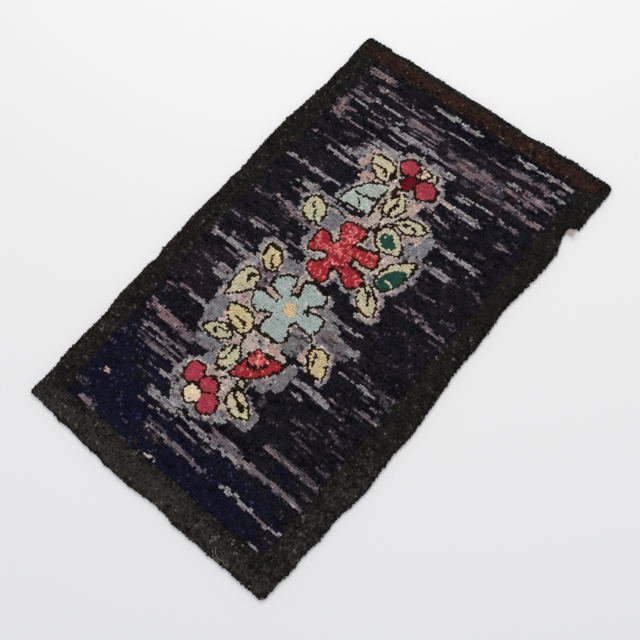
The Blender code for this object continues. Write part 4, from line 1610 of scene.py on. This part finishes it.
def hem_stitches(form, rng):
    """The stitches that hold the hem, one after another under its inner edge."""
    cloth = bpy.context.scene.rug_cloth
    square = (form.halves - EDGE_INSET - cloth.hem) * ((1, -1), (1, 1), (-1, 1), (-1, -1))
    spots, turns = spaced(square, STITCH_PITCH, True)
    paths = []
    for spot, turn in zip(spots, turns):
        slant = turn + rng.normal(*STITCH_SLANT)
        step = np.array([math.cos(slant), math.sin(slant)]) * STITCH_LENGTH / 2
        share = np.linspace(-1.0, 1.0, 4)
        flat = form.carry(spot + share[:, None] * step)
        paths.append(np.column_stack([flat, np.full(4, STITCH_HEIGHT)]))
    return paths


def fallen_threads(form, rng):
    """Two pale threads and bits of lint, lying on the pile."""
    flat = []
    for thread in FALLEN_THREADS:
        curl = spaced(on_rug(thread), 0.002, False)[0]
        strays = [drawn_noise(curl, 0.006, 0.006, layer) for layer in (51.5, 53.5)]
        curl += THREAD_CURL * np.stack(strays, 1)
        flat.append(curl)
    for place in on_rug(LINT_PLACES):
        for _ in range(LINT_THREADS):
            turn = rng.uniform(0.0, 2 * math.pi)
            reach = rng.uniform(*LINT_LENGTH)
            bend = rng.normal(0.0, LINT_BEND)
            angles = turn + bend * np.linspace(-1.0, 1.0, 5)
            steps = np.stack([np.cos(angles), np.sin(angles)], 1) * reach / 2
            middle = place + rng.normal(0.0, LINT_SPREAD, 2)
            flat.append(middle + np.cumsum(steps, axis=0) - steps.sum(axis=0) / 2)
    paths = []
    for path in flat:
        height = form.heights(path, missing=0.0075) + LINT_LIFT
        height += rng.normal(0.0, LIFT_SPREAD, len(path))
        paths.append(np.column_stack([path, height]))
    return paths


class RUG_PG_pile(bpy.types.PropertyGroup):
    """Sizes of the loops and of the border"""

    row_pitch: length("Row pitch", "Distance between two rows of loops", 4.5, 3.0, 8.0)
    loop_pitch: length("Loop pitch", "Distance between two loops of a row", 4.1, 3.0, 8.0)
    outline_pitch: length("Outline pitch", "Distance between two loops of a dark row", 3.8, 3.0, 8.0)
    loop_rise: length("Loop rise", "How far a loop stands out of the pile's dark depth", 2.9, 1.0, 8.0)
    loop_root: length("Loop root", "How far a loop reaches into the pile's dark depth", 0.8, 0.1, 3.0)
    rim_inset: length("Rim inset", "How far inside the rim the outermost row stands", 2.0, 0.5, 5.0)
    unevenness: length("Unevenness", "How far loops stray from their places", 0.40, 0.0, 2.0)
    waver: length("Waver", "How far the rows across the rug stray from straight lines", 2.2, 0.0, 10.0)
    border_left: length("Left border", "Width of the border's left side", 50.0, 10.0, 150.0)
    border_right: length("Right border", "Width of the border's right side", 46.0, 10.0, 150.0)
    border_near: length("Near border", "Width of the border's near side", 58.0, 10.0, 150.0)
    border_far: length("Far border", "Width of the border's far side", 40.0, 10.0, 150.0)
    seed: IntProperty(name="Seed", description="Start of the random draws", default=11, min=0)


class RUG_PG_wool(bpy.types.PropertyGroup):
    """Colours of the yarns"""

    border_charcoal: dyed("Border charcoal", 38, 36, 32, "Most of the border")
    border_olive: dyed("Border olive", 56, 52, 48, "Lighter loops of the border")
    border_black: dyed("Border black", 29, 28, 25, "Darkest loops of the border")
    border_brown: dyed("Border brown", 57, 38, 33, "Band in the far side of the border")
    ground_charcoal: dyed("Ground charcoal", 31, 29, 35, "Most of the ground")
    ground_black: dyed("Ground black", 20, 18, 23, "Darkest loops of the ground")
    ground_plum: dyed("Ground plum", 42, 34, 40, "Warm dark loops of the ground")
    ground_navy: dyed("Ground navy", 24, 23, 43, "Blue loops of the ground")
    streak_mauve: dyed("Streak mauve", 122, 108, 115, "Most of the light streaks")
    streak_pink: dyed("Streak pink", 146, 117, 119, "Pink loops of the streaks")
    streak_light: dyed("Streak grey", 160, 155, 155, "Light grey loops of the streaks")
    streak_faint: dyed("Streak dusk", 76, 69, 75, "Half dark loops of the streaks")
    halo_beige: dyed("Halo beige", 203, 186, 171, "Light ground next to the motifs")
    halo_rose: dyed("Halo rose", 194, 161, 149, "Pinkish light ground next to the motifs")
    halo_grey: dyed("Halo grey", 130, 126, 126, "Light ground farther from the motifs")
    halo_blue: dyed("Halo blue grey", 138, 140, 145, "Bluish light ground")
    outline: dyed("Outline brown", 44, 32, 18, "Outlines, veins and stalks")
    leaf_cream: dyed("Leaf cream", 210, 201, 166, "Most of the leaves")
    leaf_yellow: dyed("Leaf yellow", 219, 198, 147, "The yellow leaves")
    leaf_blue: dyed("Leaf blue", 184, 194, 184, "The blue leaf")
    leaf_green: dyed("Leaf green", 38, 80, 65, "Hearts of two leaves")
    flower_red: dyed("Flower red", 177, 45, 54, "The red flower and the bud")
    # Flower pink is also scattered through the red flower, partly as painted glints
    flower_pink: dyed("Flower pink", 224, 110, 109, "Heart of the bud")
    flower_blue: dyed("Flower blue", 178, 191, 183, "The blue flower")
    berry_crimson: dyed("Berry crimson", 184, 63, 80, "The berries")
    berry_dark: dyed("Berry dark", 120, 16, 35, "The darkest berry")
    peach: dyed("Peach", 238, 200, 150, "Heart of the blue flower")
    cream_peach: dyed("Cream peach", 246, 222, 190, "The pale fruit and the tuft between the fruit")


class RUG_PG_cloth(bpy.types.PropertyGroup):
    """Sizes and colour of the burlap"""

    thickness: length("Cloth thickness", "Thickness of the burlap", 1.1, 0.3, 3.0)
    hem: length("Hem", "Width of the hem turned under", 28.0, 5.0, 100.0)
    threads: amount("Threads a metre", "Threads of the burlap in a metre", 480.0, 2000.0)
    colour: dyed("Burlap", 190, 170, 140, "The burlap")
    pale_thread: dyed("Pale thread", 168, 160, 146, "Loose threads and lint")
    # The colour of the painted shade between the loops, which the stitches of the underside also take
    painted_shade_and_backs_colour: dyed("Painted shade of the pile", 24, 22, 24, "The dark between the loops")


class RUG_PG_stage(bpy.types.PropertyGroup):
    """Floor, light and camera"""

    floor_colour: dyed("Floor", 244, 243, 241, "The plain floor")
    sky: amount("Sky light", "Strength of the light from all round", 0.75, 10.0)
    lamp_power: amount("Lamp", "Power of the soft lamp", 26.0, 1000.0, "POWER")
    camera_distance: length("Distance", "From the camera to where it aims", 2204.0, 500.0, 9000.0)
    camera_elevation: angle("Elevation", "Camera above the horizon", 64.89)
    camera_heading: angle("Heading", "Camera's view to the left of +Y", 59.04)
    camera_roll: angle("Roll", "Camera's turn about its view", 19.65)
    lens: FloatProperty(name="Lens", description="Focal length", default=64.6, min=10.0, unit="CAMERA")


class RUG_OT_lay_burlap(bpy.types.Operator):
    """Lay the burlap with its hem turned under and stitched, and its loose tab at the worn edge"""

    bl_idname = "rug.lay_burlap"
    bl_label = "Burlap"

    def execute(self, context):
        cloth = context.scene.rug_cloth
        plan = hooking_plan()
        rng = np.random.default_rng(context.scene.rug_pile.seed + 1)
        material = burlap_material("burlap", cloth.colour, cloth.threads)
        thread = fibre_material("burlap_thread", cloth.colour, "thread")
        piece = place_piece("foundation_cloth", burlap_mesh(plan), material, CLOTH_NODE)
        piece.data.materials.append(backs_material("hooked_underside", cloth))
        body = piece.modifiers.new("thickness", "SOLIDIFY")
        body.thickness = cloth.thickness
        body.offset = 0.0
        body.material_offset = 1
        tab_mesh = thread_mesh("loose_tab", tab_threads(rng), TAB_RADIUS)
        tab = place_piece("loose_tab", tab_mesh, thread, CLOTH_NODE)
        stitches_mesh = thread_mesh("hem_stitches", hem_stitches(plan.form, rng), STITCH_RADIUS)
        stitches = place_piece("hem_stitches", stitches_mesh, thread, CLOTH_NODE)
        return {"FINISHED"}


class RUG_OT_drop_threads(bpy.types.Operator):
    """Drop two pale threads and bits of lint on the pile"""

    bl_idname = "rug.drop_threads"
    bl_label = "Fallen threads"

    def execute(self, context):
        rng = np.random.default_rng(context.scene.rug_pile.seed + 2)
        material = fibre_material("pale_thread", context.scene.rug_cloth.pale_thread, "thread")
        mesh = thread_mesh("fallen_threads", fallen_threads(hooking_plan().form, rng), LINT_RADIUS)
        place_piece("fallen_threads", mesh, material, CLOTH_NODE)
        return {"FINISHED"}


class RUG_OT_lay_bed(bpy.types.Operator):
    """Lay the dark mat of painted shade for the depth of the pile on the burlap"""

    bl_idname = "rug.lay_bed"
    bl_label = "Painted shade of the pile"

    def execute(self, context):
        material = fibre_material("pile_depth", context.scene.rug_cloth.painted_shade_and_backs_colour, "depth")
        place_piece("pile_bed", bed_mesh(hooking_plan()), material, PILE_NODE)
        return {"FINISHED"}


class RUG_OT_hook_border(bpy.types.Operator):
    """Hook the dark border and the brown band in its far side"""

    bl_idname = "rug.hook_border"
    bl_label = "Border"

    def execute(self, context):
        return hook("border_charcoal", "border_olive", "border_black", "border_brown")


class RUG_OT_hook_ground(bpy.types.Operator):
    """Hook the dark ground in its four yarns"""

    bl_idname = "rug.hook_ground"
    bl_label = "Ground"

    def execute(self, context):
        return hook("ground_charcoal", "ground_black", "ground_plum", "ground_navy")


class RUG_OT_hook_streaks(bpy.types.Operator):
    """Hook the light streaks across the ground"""

    bl_idname = "rug.hook_streaks"
    bl_label = "Streaks"

    def execute(self, context):
        return hook("streak_mauve", "streak_pink", "streak_light", "streak_faint")


class RUG_OT_hook_halo(bpy.types.Operator):
    """Hook the light ground round the flowers and leaves"""

    bl_idname = "rug.hook_halo"
    bl_label = "Light ground"

    def execute(self, context):
        return hook("halo_beige", "halo_rose", "halo_grey", "halo_blue")


class RUG_OT_hook_leaves(bpy.types.Operator):
    """Hook the leaves"""

    bl_idname = "rug.hook_leaves"
    bl_label = "Leaves"

    def execute(self, context):
        return hook("leaf_cream", "leaf_yellow", "leaf_blue", "leaf_green")


class RUG_OT_hook_flowers(bpy.types.Operator):
    """Hook the two flowers and the bud"""

    bl_idname = "rug.hook_flowers"
    bl_label = "Flowers"

    def execute(self, context):
        return hook("flower_red", "flower_pink", "flower_blue", "peach")


class RUG_OT_hook_berries(bpy.types.Operator):
    """Hook the berries"""

    bl_idname = "rug.hook_berries"
    bl_label = "Berries"

    def execute(self, context):
        return hook("berry_crimson", "berry_dark", "cream_peach")


class RUG_OT_hook_outlines(bpy.types.Operator):
    """Hook the single dark rows: outlines, veins and stalks"""

    bl_idname = "rug.hook_outlines"
    bl_label = "Outlines"

    def execute(self, context):
        return hook("outline")


class RUG_OT_set_stage(bpy.types.Operator):
    """Set up the floor, the light and the camera"""

    bl_idname = "rug.set_stage"
    bl_label = "Stage"

    FLOOR_SIZE = 12.0
    AIM = (0.0359, -0.0456, 0.0)
    LAMP_PLACE = (-0.9, 1.3, 2.3)
    LAMP_SIZE = 2.2
    LAMP_COLOUR = (1.0, 0.97, 0.93)
    SKY_COLOUR = (0.93, 0.95, 1.0)
    FLOOR_GAP = 0.0001

    def execute(self, context):
        stage = context.scene.rug_stage
        self.lay_floor(stage)
        self.light(context.scene, stage)
        self.place_camera(context.scene, stage)
        context.scene.view_settings.view_transform = "Standard"
        return {"FINISHED"}

    def lay_floor(self, stage):
        bm = bmesh.new()
        bmesh.ops.create_grid(bm, x_segments=8, y_segments=8, size=self.FLOOR_SIZE / 2)
        mesh = mesh_from(bm, "floor")
        material, _, shader = new_material("floor", 0.75, 0.0)
        shader.inputs["Base Color"].default_value = rgba(stage.floor_colour)
        mesh.materials.append(material)
        floor = bpy.data.objects.new("floor", mesh)
        floor.location.z = -self.FLOOR_GAP
        bpy.context.scene.collection.objects.link(floor)

    def light(self, scene, stage):
        world = bpy.data.worlds.new("studio")
        world.use_nodes = True
        background = world.node_tree.nodes["Background"].inputs
        background["Color"].default_value = rgba(self.SKY_COLOUR)
        background["Strength"].default_value = stage.sky
        scene.world = world
        lamp = bpy.data.lights.new("soft_lamp", "AREA")
        lamp.energy = stage.lamp_power
        lamp.shape = "DISK"
        lamp.size = self.LAMP_SIZE
        lamp.color = self.LAMP_COLOUR
        holder = bpy.data.objects.new("soft_lamp", lamp)
        holder.location = self.LAMP_PLACE
        holder.rotation_euler = (-Vector(self.LAMP_PLACE)).to_track_quat("-Z", "Y").to_euler()
        scene.collection.objects.link(holder)

    def place_camera(self, scene, stage):
        camera = bpy.data.cameras.new("camera")
        camera.lens = stage.lens
        camera.sensor_width = 36.0
        camera.clip_end = 60.0
        holder = bpy.data.objects.new("camera", camera)
        heading = Matrix.Rotation(stage.camera_heading, 4, "Z")
        tilt = Matrix.Rotation(math.pi / 2 - stage.camera_elevation, 4, "X")
        roll = Matrix.Rotation(-stage.camera_roll, 4, "Z")
        back = Matrix.Translation((0.0, 0.0, stage.camera_distance))
        holder.matrix_world = Matrix.Translation(self.AIM) @ heading @ tilt @ roll @ back
        scene.collection.objects.link(holder)
        scene.camera = holder


class RUG_PT_sidebar(bpy.types.Panel):
    """Lists the steps of making the rug"""

    bl_idname = "RUG_PT_sidebar"
    bl_label = "Hooked Rug"
    bl_space_type = "VIEW_3D"
    bl_region_type = "UI"
    bl_category = "Hooked Rug"

    def draw(self, context):
        for step in STEPS:
            self.layout.operator(step.bl_idname)
        for group in SETTINGS:
            box = self.layout.box()
            settings = getattr(context.scene, group)
            for prop in settings.bl_rna.properties:
                if not prop.is_readonly and prop.identifier != "name":
                    box.prop(settings, prop.identifier)


# Each setting group's name on the scene
SETTINGS = {
    "rug_pile": RUG_PG_pile,
    "rug_wool": RUG_PG_wool,
    "rug_cloth": RUG_PG_cloth,
    "rug_stage": RUG_PG_stage,
}
# The steps in their order
STEPS = (
    RUG_OT_lay_burlap,
    RUG_OT_lay_bed,
    RUG_OT_hook_outlines,
    RUG_OT_hook_flowers,
    RUG_OT_hook_leaves,
    RUG_OT_hook_berries,
    RUG_OT_hook_halo,
    RUG_OT_hook_streaks,
    RUG_OT_hook_ground,
    RUG_OT_hook_border,
    RUG_OT_drop_threads,
    RUG_OT_set_stage,
)


def classes():
    return [*SETTINGS.values(), *STEPS, RUG_PT_sidebar]


def register():
    for item in classes():
        bpy.utils.register_class(item)
    for name, group in SETTINGS.items():
        setattr(bpy.types.Scene, name, PointerProperty(type=group))


def unregister():
    for name in SETTINGS:
        delattr(bpy.types.Scene, name)
    for item in reversed(classes()):
        bpy.utils.unregister_class(item)


def main():
    register()
    for step in STEPS:
        getattr(bpy.ops.rug, step.bl_idname.removeprefix("rug."))()


if __name__ == "__main__":
    main()
